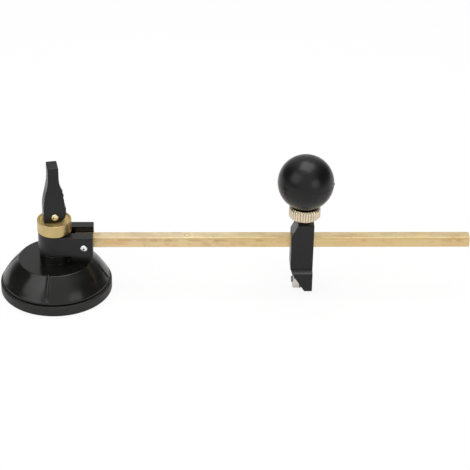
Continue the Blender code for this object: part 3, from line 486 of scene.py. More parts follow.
class Nodes:
    """The nodes of a material or the world."""

    def __init__(self, owner):
        owner.use_nodes = True
        self.tree = owner.node_tree

    def feed(self, socket, value):
        """Link an input to a socket, or set it to a plain value."""
        if isinstance(value, bpy.types.NodeSocket):
            self.tree.links.new(value, socket)
        else:
            socket.default_value = value

    def node(self, kind, **inputs):
        """Add a node and feed its inputs."""
        made = self.tree.nodes.new(kind)
        for name, value in inputs.items():
            self.feed(made.inputs[name.replace("_", " ")], value)
        return made

    def spread(self, value, low, high, to_low=0.0, to_high=1.0):
        """Stretch the part of a value between two limits over a new range."""
        made = self.node(
            "ShaderNodeMapRange", Value=value, From_Min=low, From_Max=high, To_Min=to_low, To_Max=to_high
        )
        return made.outputs["Result"]

    def math(self, operation, first, second=0.0):
        """A sum, product or other operation on two values."""
        made = self.tree.nodes.new("ShaderNodeMath")
        made.operation = operation
        for socket, value in zip(made.inputs, (first, second)):
            self.feed(socket, value)
        return made.outputs["Value"]

    def product(self, first, second):
        """The product of two values."""
        return self.math("MULTIPLY", first, second)

    def background(self, camera=1.0, mirrored=1.0):
        """How much of the plain background a ray sees, with a share for the camera's and one for mirrored rays."""
        rays = self.node("ShaderNodeLightPath").outputs
        bent = self.math("MAXIMUM", rays["Is Glossy Ray"], rays["Is Transmission Ray"])
        return self.math("MAXIMUM", self.product(rays["Is Camera Ray"], camera), self.product(bent, mirrored))

    def surface(self, output, amount, first, second):
        """Mix two shaders by an amount into the surface of an output node."""
        mix = self.tree.nodes.new("ShaderNodeMixShader")
        for socket, source in zip(mix.inputs, (amount, first, second)):
            self.feed(socket, source)
        self.feed(self.tree.nodes[output].inputs["Surface"], mix.outputs["Shader"])


class Finish(Nodes):
    """A Principled material whose colour, roughness and relief are built from nodes."""

    def __init__(self, name, colour, roughness, metallic=0.0, specular=0.5):
        self.material = bpy.data.materials.new(name)
        super().__init__(self.material)
        self.shader = self.tree.nodes["Principled BSDF"]
        self.shader.inputs["Base Color"].default_value = (*colour, 1)
        self.shader.inputs["Roughness"].default_value = roughness
        self.shader.inputs["Metallic"].default_value = metallic
        self.shader.inputs["Specular IOR Level"].default_value = specular
        self.object = self.node("ShaderNodeTexCoord").outputs["Object"]

    def place(self, scale, location):
        """Object coordinates, moved and stretched."""
        return self.node("ShaderNodeMapping", Vector=self.object, Location=location, Scale=scale).outputs["Vector"]

    def noise(self, scale, detail=3.0, rough=0.5, stretch=(1, 1, 1), shift=(0, 0, 0)):
        """Noise over the object, from nothing to one."""
        where = self.place(stretch, shift)
        made = self.node("ShaderNodeTexNoise", Vector=where, Scale=scale, Detail=detail, Roughness=rough)
        return made.outputs["Fac"]

    def patches(self, low, high, *grain, **place):
        """Patches where noise rises from one level to another."""
        return self.spread(self.noise(*grain, **place), low, high)

    def paint(self, colour, amount, strength):
        """Lay a colour over what is there, by an amount from nothing to one times a strength."""
        amount = self.product(amount, strength)
        socket = self.shader.inputs["Base Color"]
        under = socket.links[0].from_socket if socket.is_linked else tuple(socket.default_value)
        made = self.tree.nodes.new("ShaderNodeMix")
        made.data_type = "RGBA"
        for name, value in (("Factor", amount), ("A", under), ("B", (*colour, 1))):
            self.feed(made.inputs[name], value)
        self.feed(socket, made.outputs["Result"])

    def gloss(self, value):
        """Drive the roughness by a value."""
        self.feed(self.shader.inputs["Roughness"], value)

    def relief(self, height, distance, strength=1.0):
        """Add a relief, in metres at full height."""
        made = self.node("ShaderNodeBump", Height=height, Distance=distance, Strength=strength)
        socket = self.shader.inputs["Normal"]
        if socket.is_linked:
            self.feed(made.inputs["Normal"], socket.links[0].from_socket)
        self.feed(socket, made.outputs["Normal"])

    def radius(self, centre=(0, 0, 0), upright=True):
        """Distance from an upright axis or, not upright, from one along Y."""
        scale = (1, 1, 0) if upright else (1, 0, 1)
        made = self.tree.nodes.new("ShaderNodeVectorMath")
        made.operation = "LENGTH"
        self.feed(made.inputs[0], self.place(scale, [-value * part for value, part in zip(centre, scale)]))
        return made.outputs["Value"]

    def band(self, axis, low, high, ease):
        """One between two levels along an axis, easing to nothing outside them."""
        level = self.node("ShaderNodeSeparateXYZ", Vector=self.object).outputs[axis]
        return self.product(self.spread(level, low - ease, low), self.spread(level, high, high + ease, 1.0, 0.0))


def rubber_finish(colours):
    """Matt moulded rubber: a fine skin, a dull bloom in patches and faint rings from its mould."""
    made = Finish("cup_rubber_finish", colours.rubber, 0.5, specular=0.33)
    bloom = made.patches(0.48, 0.74, 85, 5, 0.62)
    made.paint((0.022, 0.0213, 0.020), bloom, 0.42)
    specks = made.patches(0.66, 0.74, 2600, 2, 0.5)
    made.paint((0.07, 0.068, 0.063), specks, 0.20)
    made.gloss(made.spread(made.noise(240, 4, 0.6), 0.3, 0.7, 0.40, 0.58))
    rings = made.math("SINE", made.product(made.radius(), 7400))
    made.relief(rings, 0.000006, 0.5)
    made.relief(made.noise(3200, 3, 0.6), 0.000035, 0.6)
    return made


def housing_finish(colours):
    """Satin moulded plastic of the bell, a little duller in patches, with rubbed specks."""
    made = Finish("bell_housing_finish", colours.housing, 0.2, specular=0.33)
    dull = made.patches(0.42, 0.72, 60, 5, 0.6)
    made.paint((0.0115, 0.0112, 0.0102), dull, 0.45)
    specks = made.patches(0.67, 0.75, 2300, 2, 0.5, shift=(3, 1, 2))
    made.paint((0.05, 0.048, 0.045), specks, 0.16)
    made.gloss(made.spread(made.noise(150, 5, 0.62), 0.3, 0.72, 0.15, 0.27))
    made.relief(made.noise(90, 2, 0.5), 0.00008, 0.35)
    made.relief(made.noise(2600, 3, 0.6), 0.000008, 0.5)
    return made


def plastic_finish(colours):
    """Satin black plastic with a fine moulded grain, handling marks, small scratches and a painted highlight on
    the head's foot ledge.
    """
    made = Finish("black_plastic_finish", colours.plastic, 0.34, specular=0.33)
    marks = made.patches(0.50, 0.78, 110, 5, 0.65)
    made.paint((0.012, 0.0118, 0.012), marks, 0.5)
    scratch = made.patches(0.70, 0.76, 420, 2, 0.4, stretch=(0.25, 1, 6))
    made.paint((0.04, 0.039, 0.038), scratch, 0.28)
    # Painted highlight: a paler band on the head's foot ledge, standing in for the light it catches.
    rubbed = made.band("Z", HEAD_LOW.z + 0.0112, HEAD_LOW.z + 0.0119, 0.0003)
    rubbed = made.product(rubbed, made.band("Y", HEAD_LOW.y - 0.001, -0.00605, 0.0001))
    made.paint((0.085, 0.083, 0.083), rubbed, 0.8)
    made.gloss(made.spread(made.noise(210, 5, 0.6), 0.3, 0.72, 0.27, 0.42))
    made.relief(made.noise(60, 2, 0.5), 0.00008, 0.3)
    made.relief(made.noise(2900, 2, 0.55), 0.000014, 0.6)
    return made


def ball_finish(colours):
    """Satin black of the ball, almost smooth, with a soft haze where hands have held it."""
    made = Finish("ball_handle_finish", colours.ball, 0.28, specular=0.28)
    haze = made.patches(0.45, 0.8, 55, 4, 0.6)
    made.paint((0.0085, 0.0084, 0.0082), haze, 0.6)
    made.gloss(made.spread(made.noise(130, 5, 0.62), 0.3, 0.72, 0.24, 0.34))
    made.relief(made.noise(900, 3, 0.5), 0.00001, 0.5)
    made.relief(made.noise(70, 2, 0.5), 0.00006, 0.25)
    return made


def bar_finish(colours):
    """Drawn brass: lines along the bar, pink, olive and brown tarnish, pits, a stain, streaks, a ring mark, a
    painted highlight on the top face and painted shade along the sides under the top edge.
    """
    made = Finish("bar_brass_finish", colours.bar, 0.36, metallic=1.0)
    # Painted highlight: the top face is painted paler than the sides, standing in for the brighter light it
    # reflects.
    crown = made.band("Z", BAR_HIGH.z - 0.00001, BAR_HIGH.z + 0.001, 0.00003)
    made.paint((0.93, 0.83, 0.54), crown, 0.72)
    pink = made.patches(0.46, 0.66, 48, 4, 0.6, stretch=(1, 2.2, 2.2), shift=(0.3, 0, 0))
    made.paint((0.74, 0.50, 0.33), pink, 0.62)
    olive = made.patches(0.48, 0.68, 34, 4, 0.62, stretch=(1, 2.6, 2.6), shift=(1.7, 2, 0))
    made.paint((0.58, 0.49, 0.23), olive, 0.5)
    brown = made.patches(0.53, 0.72, 120, 5, 0.68, stretch=(1, 1.6, 1.6), shift=(5, 1, 1))
    made.paint((0.44, 0.28, 0.13), brown, 0.6)
    # Painted shade: a darker band along the upper part of the sides, just under the top edge.
    edges = made.band("Z", BAR_HIGH.z - 0.0012, BAR_HIGH.z - 0.00025, 0.0002)
    made.paint((0.50, 0.37, 0.17), edges, 0.45)
    handled = made.band("X", HANDLED, BAR_HIGH.x + 0.05, 0.05)
    handled = made.product(handled, made.spread(made.noise(30, 3, 0.6, shift=(4, 0, 2)), 0.2, 0.6, 0.45, 1.0))
    made.paint((0.64, 0.44, 0.185), handled, 0.5)
    stain = made.band("X", *STAIN, 0.0040)
    stain = made.product(stain, made.band("Z", BAR_HIGH.z - 0.0042, BAR_HIGH.z - 0.0018, 0.0006))
    made.paint((0.64, 0.41, 0.19), stain, 0.72)
    streaks = made.patches(0.52, 0.62, 150, 3, 0.6, stretch=(0.55, 1, 1), shift=(0.27, 3, 1))
    streaks = made.product(streaks, made.band("Z", BAR_HIGH.z - 0.0022, BAR_HIGH.z - 0.0013, 0.0004))
    made.paint((0.34, 0.24, 0.10), streaks, 0.52)
    away = made.radius((RING_MARK, (BAR_LOW.y + BAR_HIGH.y) / 2, 0))
    ring = made.product(made.spread(away, 0.0012, 0.0015), made.spread(away, 0.0016, 0.0019, 1, 0))
    made.paint((0.36, 0.32, 0.15), ring, 0.85)
    drawn = made.noise(2200, 3, 0.6, stretch=(0.012, 1, 1))
    made.paint((0.88, 0.76, 0.52), made.spread(drawn, 0.52, 0.75), 0.30)
    pits = made.patches(0.68, 0.76, 900, 3, 0.6, shift=(2, 5, 3))
    made.paint((0.26, 0.17, 0.08), pits, 0.5)
    made.gloss(made.spread(made.noise(190, 5, 0.6, stretch=(0.4, 1, 1)), 0.3, 0.72, 0.28, 0.50))
    made.relief(drawn, 0.000012, 0.7)
    made.relief(made.noise(160, 3, 0.55, stretch=(0.35, 1, 1)), 0.00005, 0.35)
    return made


def punch_mark(made, centre, dirt):
    """Darken the dimple that the riveting punch left."""
    mark = made.spread(made.radius(centre, upright=False), 0.00048, 0.00066, 1.0, 0.0)
    made.paint(dirt, mark, 0.92)


def collar_finish(colours):
    """Turned brass of the collar, duller and more golden on the floor inside its rim."""
    made = turned_brass_finish("collar_brass_finish", colours.collar, (0.38, 0.26, 0.11), 0.34)
    inside = made.spread(made.radius(), 0.0080, 0.0083, 1.0, 0.0)
    made.paint((0.58, 0.43, 0.17), inside, 0.8)
    under = made.shader.inputs["Roughness"].links[0].from_socket
    made.gloss(made.math("ADD", under, made.product(inside, 0.22)))
    return made


def lever_pin_finish(colours):
    """Bright brass of the lever's pin, with its punch mark."""
    made = turned_brass_finish("lever_pin_finish", colours.pin, (0.55, 0.40, 0.18), 0.24)
    punch_mark(made, LEVER_PIN, (0.17, 0.14, 0.05))
    return made


def bar_rivet_finish(colours):
    """Bright steel of the bar's rivet, with its punch mark."""
    made = bright_metal_finish("bar_rivet_finish", colours.steel, (0.50, 0.50, 0.48), 0.22, 500)
    punch_mark(made, BAR_PIN, (0.035, 0.030, 0.024))
    return made


def nut_finish(colours):
    """Warm nickel of the nut, with brown dirt and painted shade in its knurl grooves, and olive stains."""
    made = bright_metal_finish("nut_nickel_finish", colours.nickel, (0.50, 0.41, 0.27), 0.24, 380)
    across = made.radius(CLAMP_AXIS)
    # Brown dirt and painted shade in the knurl's grooves, in patches.
    groove_dirt_and_shade = made.spread(across, NUT_RADIUS - 0.00038, NUT_RADIUS - 0.00022, 1.0, 0.0)
    groove_dirt_and_shade = made.product(groove_dirt_and_shade, made.spread(across, NUT_RADIUS - 0.00125, NUT_RADIUS - 0.00095))
    patchy = made.spread(made.noise(260, 3, 0.6, shift=(7, 3, 1)), 0.35, 0.65, 0.15, 0.8)
    made.paint((0.20, 0.14, 0.07), groove_dirt_and_shade, patchy)
    stains = made.patches(0.48, 0.68, 430, 4, 0.65, shift=(1, 2, 6))
    made.paint((0.60, 0.47, 0.27), stains, 0.55)
    return made


def turned_brass_finish(name, base, dark, rough):
    """Lathe-turned brass: rings on flat faces, lines round the sides, and brown where it has dulled."""
    made = Finish(name, base, rough, metallic=1.0)
    dulled = made.patches(0.46, 0.76, 170, 4, 0.62)
    made.paint(dark, dulled, 0.5)
    lines = made.noise(5200, 2, 0.5, stretch=(0.02, 0.02, 1))
    made.paint((0.86, 0.74, 0.48), made.spread(lines, 0.5, 0.75), 0.22)
    made.gloss(made.spread(made.noise(260, 4, 0.6), 0.3, 0.72, rough - 0.07, rough + 0.12))
    rings = made.math("SINE", made.product(made.radius(), 24000))
    made.relief(rings, 0.0000025, 0.5)
    made.relief(lines, 0.000006, 0.6)
    return made


def bright_metal_finish(name, base, dark, rough, scale, stretch=(1, 1, 1)):
    """Plated or turned metal with fine brushing and slight dull spots."""
    made = Finish(name, base, rough, metallic=1.0)
    dulled = made.patches(0.50, 0.80, scale, 4, 0.6)
    made.paint(dark, dulled, 0.45)
    brushed = made.noise(4200, 2, 0.5, stretch=stretch)
    made.gloss(made.spread(brushed, 0.3, 0.7, rough - 0.06, rough + 0.10))
    made.relief(brushed, 0.000004, 0.6)
    return made


# Finishes by the name that a piece asks for. The plain metals need no function of their own.
FINISH_MAKERS = {
    "rubber": rubber_finish,
    "housing": housing_finish,
    "plastic": plastic_finish,
    "ball": ball_finish,
    "bar": bar_finish,
    "collar": collar_finish,
    "lever_pin": lever_pin_finish,
    "bar_rivet": bar_rivet_finish,
    "nickel": nut_finish,
    "pin": lambda c: turned_brass_finish("pin_brass_finish", c.pin, (0.55, 0.40, 0.18), 0.24),
    "steel": lambda c: bright_metal_finish("bright_steel_finish", c.steel, (0.50, 0.50, 0.48), 0.22, 500),
    "dark_steel": lambda c: bright_metal_finish("dark_steel_finish", c.dark_steel, (0.07, 0.065, 0.06), 0.34, 500),
    "turret": lambda c: bright_metal_finish(
        "turret_steel_finish", c.turret, (0.46, 0.42, 0.37), 0.27, 520, (1, 0.03, 0.03)
    ),
    "thread": lambda c: bright_metal_finish("stud_steel_finish", c.thread, (0.24, 0.19, 0.09), 0.34, 600),
    "carbide": lambda c: bright_metal_finish("wheel_carbide_finish", c.carbide, (0.12, 0.12, 0.13), 0.30, 900),
}


@functools.cache
def finish(name):
    """The material of one finish, made once."""
    return FINISH_MAKERS[name](bpy.context.scene.cutter_finish).material


def carry_over(node, look):
    """Give a plain solid that keeps its place a finish of its own."""
    slots = frame["nodes"][node].data.materials
    slots.clear()
    slots.append(finish(look))


def cup_shape(size):
    """The rubber cup: lip, rounded band, domed hollow and a boss with a pocket for the stud's flange."""
    radius = CUP_HIGH.x
    band_top = BELL_LOW.z - GAP
    lip_outer = radius - size.band_round / 2
    lip_inner = lip_outer - size.lip_width
    seat = radius - size.seat_width
    bore = bpy.context.scene.cutter_lever.rod_radius + GAP
    pocket = STUD_HIGH.x + GAP
    floor = STUD_LOW.z - GAP
    roof = floor + FLANGE_POCKET
    count = 14

    def hollow(across):
        return size.hollow_depth * (1 - (across / lip_inner) ** 2)

    under = [(lip_inner * step / count, hollow(lip_inner * step / count)) for step in range(count)]
    over = []
    for step in range(count + 1):
        across = seat + (size.boss_radius - seat) * step / count
        over.append((across, hollow(across) + size.wall))
    band = [(radius, size.band_round / 2, 0.0002), (radius, band_top, size.band_round)]
    edge = [(lip_inner, 0, 0), (lip_outer, 0, 0), *band, (seat, band_top, 0)]
    boss = [(size.boss_radius, CUP_HIGH.z, 0.0005), (bore, CUP_HIGH.z, 0), (bore, roof, 0)]
    boss += [(pocket, roof, 0), (pocket, floor, 0), (0, floor, 0)]
    return spun(under + rounded(edge, 6) + over + rounded(boss), 224, closed=False)


def channel_sweeps(size):
    """Spin steps for the bell: coarse between the channels, fine over their walls and floors."""
    wall = size.channel_width * size.channel_wall
    floor = size.channel_width - 2 * wall
    between = math.tau / size.channel_count - size.channel_width
    return [(wall, 6), (floor, 3), (wall, 6), (between, 52)] * size.channel_count


def channel_depth(size, heading):
    """Depth of the channels at a heading from the first one's near edge."""
    wall = size.channel_width * size.channel_wall
    along = heading % (math.tau / size.channel_count)
    inside = min(along, size.channel_width - along)
    return size.channel_depth * smooth(inside / wall)


def bell_shape(size):
    """The bell housing: lip, cone, ledge and neck over a hollow with a hub, and channels down the cone."""
    lip_top = BELL_LOW.z + size.housing_lip
    ledge = BELL_HIGH.z - size.ledge_drop
    base = ledge + size.ledge_rise
    slope = (BELL_HIGH.x - size.ledge_radius) / (ledge - lip_top)
    bore = size.shank_radius + GAP
    hub = size.neck_radius - GAP
    wall = size.housing_wall
    level_wall = wall * math.hypot(1, slope)
    rows = 16

    def cone(level):
        return BELL_HIGH.x - slope * (level - lip_top)

    brow = (cone(ledge), ledge, 0)
    lip = rounded([(BELL_HIGH.x, BELL_LOW.z, 0.0002), (BELL_HIGH.x, lip_top, size.lip_round), brow])[:-1]
    top = lip_top + SWELL_START
    side = []
    for step in range(rows + 1):
        level = top + (ledge - SWELL_END - top) * step / rows
        swell = size.bulge * math.sin(math.pi * step / rows)
        side.append((cone(level) + SWELL_OUT * swell, level + SWELL_UP * swell))
    neck = size.neck_radius
    shoulder = rounded([(cone(lip_top), lip_top, 0), (cone(ledge), ledge, 0.0009), (neck, base, 0)])[1:-1]
    inside = [(neck, base, 0.0001), (neck, BELL_HIGH.z, 0.0003)]
    inside += [(bore, BELL_HIGH.z, 0.0002), (bore, COLLAR_LOW.z, 0.0002)]
    inside += [(hub, COLLAR_LOW.z, 0.0002), (hub, base - wall, 0.0004)]
    inside += [(cone(ledge - wall) - level_wall, ledge - wall, 0.0006)]
    inside += [(cone(BELL_LOW.z) - level_wall, BELL_LOW.z, 0)]
    shape = spun(lip + side + shoulder + rounded(inside), 0, sweeps=channel_sweeps(size))
    start = top + FADE_START
    for vertex, across, heading in polar(shape):
        nearest = max(size.ledge_radius - LEDGE_MARGIN, cone(vertex.co.z) - CONE_MARGIN)
        if vertex.co.z >= top and across >= nearest:
            depth = channel_depth(size, heading) * smooth((vertex.co.z - start) / FADE_HEIGHT)
            drawn_in(vertex, 1 - depth / across)
    return moved(shape, direction=Matrix.Rotation(size.channel_start - size.channel_width / 2, 4, "Z"))


def collar_shape(size):
    """The brass collar: rim, floor and shank in one turning, its edges broken."""
    rod = bpy.context.scene.cutter_lever.rod_radius + GAP
    rim = COLLAR_HIGH.x - size.collar_wall
    floor = COLLAR_HIGH.z - size.collar_floor
    foot = HOLDER_HIGH.z + GAP
    corners = [
        (rod, floor, 0.0001),
        (rim, floor, 0.0003),
        (rim, COLLAR_HIGH.z, 0.00022),
        (COLLAR_HIGH.x, COLLAR_HIGH.z, 0.00028),
        (COLLAR_HIGH.x, foot, 0.00025),
        (size.shank_radius, foot, 0.0001),
        (size.shank_radius, COLLAR_LOW.z, 0.0002),
        (rod, COLLAR_LOW.z, 0.0001),
    ]
    return spun(rounded(corners, 5), 160)


def facing_lever(shape):
    """Turn a shape drawn about the lever pin to the lever's heading and lift it to the pin."""
    return moved(shape, LEVER_PIN, Matrix.Rotation(LEVER_TURN, 4, "Z"))


def cross_hole(radius, half_length):
    """A cylinder along Y, centred on the origin."""
    return moved(post(radius, -half_length, half_length), direction=ALONG_Y)


def lever_outline(size):
    """The lever seen from the front, about its pin, clockwise from the lower left corner."""
    low, high, count = size.waist_level, size.stem_level, 22

    def half_width(level):
        return size.waist + (size.stem - size.waist) * smooth((level - low) / (high - low))

    levels = [low + (high - low) * step / count for step in range(count + 1)]
    left = [(-half_width(level), level) for level in levels]
    right = [(half_width(level), level) for level in reversed(levels) if level > size.relief_top]
    foot = [(0, -size.bottom_reach, 0), (-size.waist, -size.bottom_reach, 0.0005), (-size.waist, low, 0)]
    crown = [(-size.stem, size.height, 0.0006), (size.stem, size.height, 0.0006)]
    top = rounded([(-size.stem, high, 0), *crown, (size.stem, high, 0)])[1:-1]
    relief = [(size.relief, size.relief_top, 0), (size.relief, size.relief_level, 0.0003)]
    bump = rounded([*relief, (size.side_reach, size.lock_level, 0.0004), (size.side_reach, 0, 0)], 4)[:-1]
    rate = (size.side_reach - size.bottom_reach) / (math.pi / 2)
    cam = []
    for step in range(count + 1):
        angle = math.pi / 2 * (1 - step / count)
        reach = size.bottom_reach + rate * angle
        across = reach * math.sin(angle) + rate * math.cos(angle)
        cam.append((across, rate * math.sin(angle) - reach * math.cos(angle)))
    return rounded(foot)[1:-1] + left + top + right + bump + cam


def lever_shape(size):
    """The cam lever, thinner to the top, slotted for the tongue and bored for its pin."""
    shape = slab(lever_outline(size), -size.base_depth, size.base_depth)
    thinning = (size.base_depth - size.top_depth) / (size.height + size.bottom_reach)
    for vertex in shape.verts:
        for side, level, out in LEVER_CHIPS:
            if vertex.co.y < 0 < vertex.co.x * side and abs(vertex.co.z - level) < CHIP_REACH:
                vertex.co.x += side * out
        if vertex.co.z > size.stem_level + 0.001:
            vertex.co.z += size.top_slope * vertex.co.y
        vertex.co.y -= math.copysign(thinning * (vertex.co.z + size.bottom_reach), vertex.co.y)
    eased(shape, size.edge, 4, keep=lambda edge: edge.verts[0].co.y * edge.verts[1].co.y > 0)
    half = size.tongue_thickness + GAP
    side = size.tongue_width + GAP
    slot = box((-side, -half, -size.bottom_reach - OVERRUN), (size.side_reach + OVERRUN, half, side))
    hole = cross_hole(size.pin_radius + GAP, size.base_depth + OVERRUN)
    return facing_lever(carved(shape, slot, hole))


def stud_shape(size):
    """The draw stud: flange, rod with an undercut, and a flat tongue with a round end and a hole."""
    shoulder = LEVER_PIN.z - size.side_reach - GAP
    flange_top = STUD_LOW.z + FLANGE_HEIGHT
    corners = [
        (0, STUD_LOW.z, 0),
        (STUD_HIGH.x, STUD_LOW.z, 0.0003),
        (STUD_HIGH.x, flange_top, 0.0003),
        (size.rod_radius, flange_top, 0.0004),
        (size.rod_radius, shoulder, 0.0003),
        (0, shoulder, 0),
    ]
    rod = spun(rounded(corners, 4), 64, closed=False)
    root = shoulder - size.rod_radius
    wide = size.tongue_width
    outline = [(-wide, root), (wide, root), *arc((0, LEVER_PIN.z), wide, 0, math.pi, 20)]
    tongue = slab(outline, -size.tongue_thickness, size.tongue_thickness)
    eased(tongue, 0.00015, 2, keep=lambda edge: edge.verts[0].co.z > shoulder and edge.verts[1].co.z > shoulder)
    moved(tongue, direction=Matrix.Rotation(LEVER_TURN, 4, "Z"))
    whole = carved(rod, tongue, operation="UNION")
    hole = cross_hole(size.pin_radius + GAP, size.tongue_thickness + OVERRUN)
    return carved(whole, facing_lever(hole))


def rivet_shape(size, shank, half_grip):
    """A pin along Y with a domed head at each end, each with a dimple from the riveting punch."""

    def head(side):
        dome = []
        for step in range(9):
            angle = math.pi / 2 * step / 9
            dome.append((size.head_radius * math.cos(angle), half_grip + size.head_height * math.sin(angle)))
        crown = half_grip + size.head_height
        rim = [(size.dimple + 0.00008, crown), (size.dimple, crown - 0.00006)]
        profile = [*dome, *rim, (size.dimple * 0.6, crown - 0.0005), (0, crown - DIMPLE_DEPTH)]
        return [(across, side * up) for across, up in profile if across <= size.head_radius]

    path = list(reversed(head(-1))) + [(shank, -half_grip), (shank, half_grip)] + head(1)
    return moved(spun(path, 56, closed=False), direction=ALONG_Y)


def holder_shape(size):
    """The arm holder: a round hub and two cheeks, bored for the shank and slotted for the bar."""
    radius = HOLDER_HIGH.y
    hub = arc((0, 0), radius, math.pi / 2, 3 * math.pi / 2, 64)
    reach = HOLDER_HIGH.x
    end = rounded([(0, -radius, 0), (reach, -radius, 0.0006), (reach, radius, 0.0006), (0, radius, 0)], 4)[1:-1]
    shape = slab([*hub, *end], HOLDER_LOW.z, HOLDER_HIGH.z, upright=False)
    eased(shape, size.holder_edge, 4)
    low = HOLDER_LOW.z - OVERRUN
    high = HOLDER_HIGH.z + OVERRUN
    bore = post(bpy.context.scene.cutter_cup.shank_radius + GAP, low, high, 96)
    half = BAR_HIGH.y + size.slot_gap
    sweep = math.hypot(BAR_PIN.x - BAR_LOW.x, BAR_HIGH.y) + GAP
    slot = box((BAR_PIN.x - sweep - size.slot_reach, -half, low), (reach + OVERRUN, half, high))
    hole = moved(cross_hole(size.rivet_radius + GAP, radius + OVERRUN), BAR_PIN)
    shape = carved(shape, bore, slot, hole)
    return eased(shape, 0.00022, 2, CUT_CORNER)


def bar_shape(size):
    """The square bar with broken edges, sawn ends and the hole for its rivet."""
    shape = eased(box(BAR_LOW, BAR_HIGH), size.bar_edge, 4)
    hole = moved(cross_hole(size.rivet_radius + GAP, BAR_HIGH.y + OVERRUN), BAR_PIN)
    return carved(shape, hole)


def head_shape(size):
    """The cutting head: block, cut corners, foot plate, bar tunnel, clamp bore and the turret's opening."""
    left, right = HEAD_LOW.x, HEAD_HIGH.x
    low, high = HEAD_LOW.z, HEAD_HIGH.z
    outline = [(left, low + size.foot_rise), (left, high - size.crown_drop), (left + size.crown_width, high)]
    outline += [(right, high), (right, low), (left + size.foot_width, low)]
    shape = slab(outline, HEAD_LOW.y, HEAD_HIGH.y)
    over = OVERRUN
    reach = -HEAD_LOW.y - size.front
    edge = low + size.foot_height - size.ledge_drop
    ledge = arc((0, 0), 1, math.pi / 2, 0, 7)
    ledge = [(-size.front - reach * across, edge + size.ledge_drop * up) for across, up in ledge]
    beyond = HEAD_LOW.y - over
    above = [*ledge, (beyond, edge), (beyond, high + over), (-size.front, high + over)]
    quarter = Matrix.Rotation(math.pi / 2, 4, "Z")
    face = moved(slab(above, -right - over, over - left), direction=quarter)
    shape = carved(shape, face)
    eased(shape, size.edge, 4, math.radians(30))
    half = BAR_HIGH.y + GAP
    middle = (BAR_LOW.z + BAR_HIGH.z) / 2
    tunnel = box((left - over, -half, middle - half), (right + over, half, middle + half))
    bore = moved(post(CLAMP_RADIUS + GAP, middle, high + over, 64), CLAMP_AXIS)
    sweep = TURRET_AXIS.z + GAP
    far = (right - size.cheek, HEAD_HIGH.y + over, TURRET_AXIS.z + sweep)
    pocket = box((left - over, TURRET_AXIS.y - sweep, low - over), far)
    cheek = on_turret(post(SCREW_BORE, 0, SCREW_HIGH.x - TURRET_LOW.x + GAP))
    shape = carved(shape, tunnel, bore, pocket, cheek)
    return eased(shape, 0.00016, 2, CUT_CORNER)


def threaded_stud_shape(size):
    """The clamp stud: a thread from the pad to the nut, and a plain journal for the ball."""
    radius = CLAMP_RADIUS
    root = radius - size.thread_depth
    top = NUT_HIGH.z
    corners = [
        (0, CLAMP_LOW.z, 0),
        (root, CLAMP_LOW.z, 0.0004),
        (root, NUT_LOW.z + GAP, 0),
        (radius, NUT_LOW.z + GAP, 0),
        (radius, top, 0),
        (JOURNAL_RADIUS, top, 0),
        (JOURNAL_RADIUS, CLAMP_HIGH.z, 0.0003),
        (0, CLAMP_HIGH.z, 0),
    ]
    shape = spun(rounded(corners, 4), 48, closed=False)
    half = size.pitch / 2
    flank = [(radius, half * 0.14), (root - 0.0001, half * 0.9)]
    ridge = [(across, -up) for across, up in reversed(flank)] + flank
    rise = NUT_LOW.z - CLAMP_LOW.z - 2 * size.pitch
    turns = math.floor(rise / size.pitch)
    face = shape.faces.new([shape.verts.new((r, 0, CLAMP_LOW.z + size.pitch + up)) for r, up in ridge])
    bmesh.ops.spin(
        shape,
        geom=[face, *face.edges, *face.verts],
        cent=(0, 0, 0),
        axis=(0, 0, 1),
        dvec=(0, 0, size.pitch / THREAD_STEPS),
        angle=math.tau * turns,
        steps=THREAD_STEPS * turns,
        use_merge=False,
    )
    bmesh.ops.recalc_face_normals(shape, faces=shape.faces)
    return moved(shape, CLAMP_AXIS)


def nut_shape(size):
    """The knurled nut: rounded ridges round its rim, sloped off at the top edge."""
    radius = NUT_RADIUS
    bore = CLAMP_RADIUS + GAP
    corners = [
        (bore, NUT_LOW.z, 0.0002),
        (radius - 0.0004, NUT_LOW.z, 0.0001),
        (radius, NUT_LOW.z + 0.0004, 0.0002),
        (radius, NUT_HIGH.z - size.slope_height, 0.0002),
        (radius - size.slope_width, NUT_HIGH.z, 0.0002),
        (bore, NUT_HIGH.z, 0.0002),
    ]
    shape = spun(rounded(corners, 3), size.knurl_count * KNURL_STEPS)
    for vertex, across, heading in polar(shape):
        wave = 0.5 + 0.5 * math.cos(size.knurl_count * heading)
        limit = radius - size.knurl_depth * (1 - wave**0.6)
        if across > limit:
            drawn_in(vertex, limit / across)
    return moved(shape, CLAMP_AXIS)


def ball_shape(size):
    """The ball handle: flat and bored underneath, with a fine moulding seam round its middle."""
    radius = BALL_HIGH.x - CLAMP_AXIS.x
    centre = BALL_HIGH.z - radius
    bush_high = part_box("ball_bush")[1]
    socket = bush_high.x - CLAMP_AXIS.x + GAP
    dip = math.asin((BALL_LOW.z - centre) / radius)
    fine = math.radians(0.5)
    skin = arc((0, centre), radius, dip + fine, -fine, 40)
    skin += [(radius + size.seam_height, centre)]
    skin += arc((0, centre), radius, fine, math.pi / 2, 48)[:-1]
    flat = rounded([(socket, bush_high.z + GAP, 0), (socket, BALL_LOW.z, 0.0003), (skin[0][0], BALL_LOW.z, 0)], 4)
    path = [(0, bush_high.z + GAP), *flat, *skin, (0, BALL_HIGH.z)]
    shape = spun(path, 128, closed=False)
    for vertex, across, heading in polar(shape):
        if abs(vertex.co.z - centre) < WELD and across > radius:
            nib, proud = (math.exp(-(((heading - at) / width) ** 2)) for at, width in (SEAM_NIB, SEAM_PROUD))
            drawn_in(vertex, 1 + (size.flash_height * nib + 2 * size.seam_height * proud) / across)
    return moved(shape, CLAMP_AXIS)


def on_turret(shape, centre=TURRET_AXIS):
    """Lay an upright shape along the turret's axis, or along a wheel's."""
    return moved(shape, centre, ALONG_X)


def wheel_centre(number):
    """The centre of one cutting wheel at rest."""
    return Vector(JOINTS[f"wheel_{number}_spin"]["pos_m"])


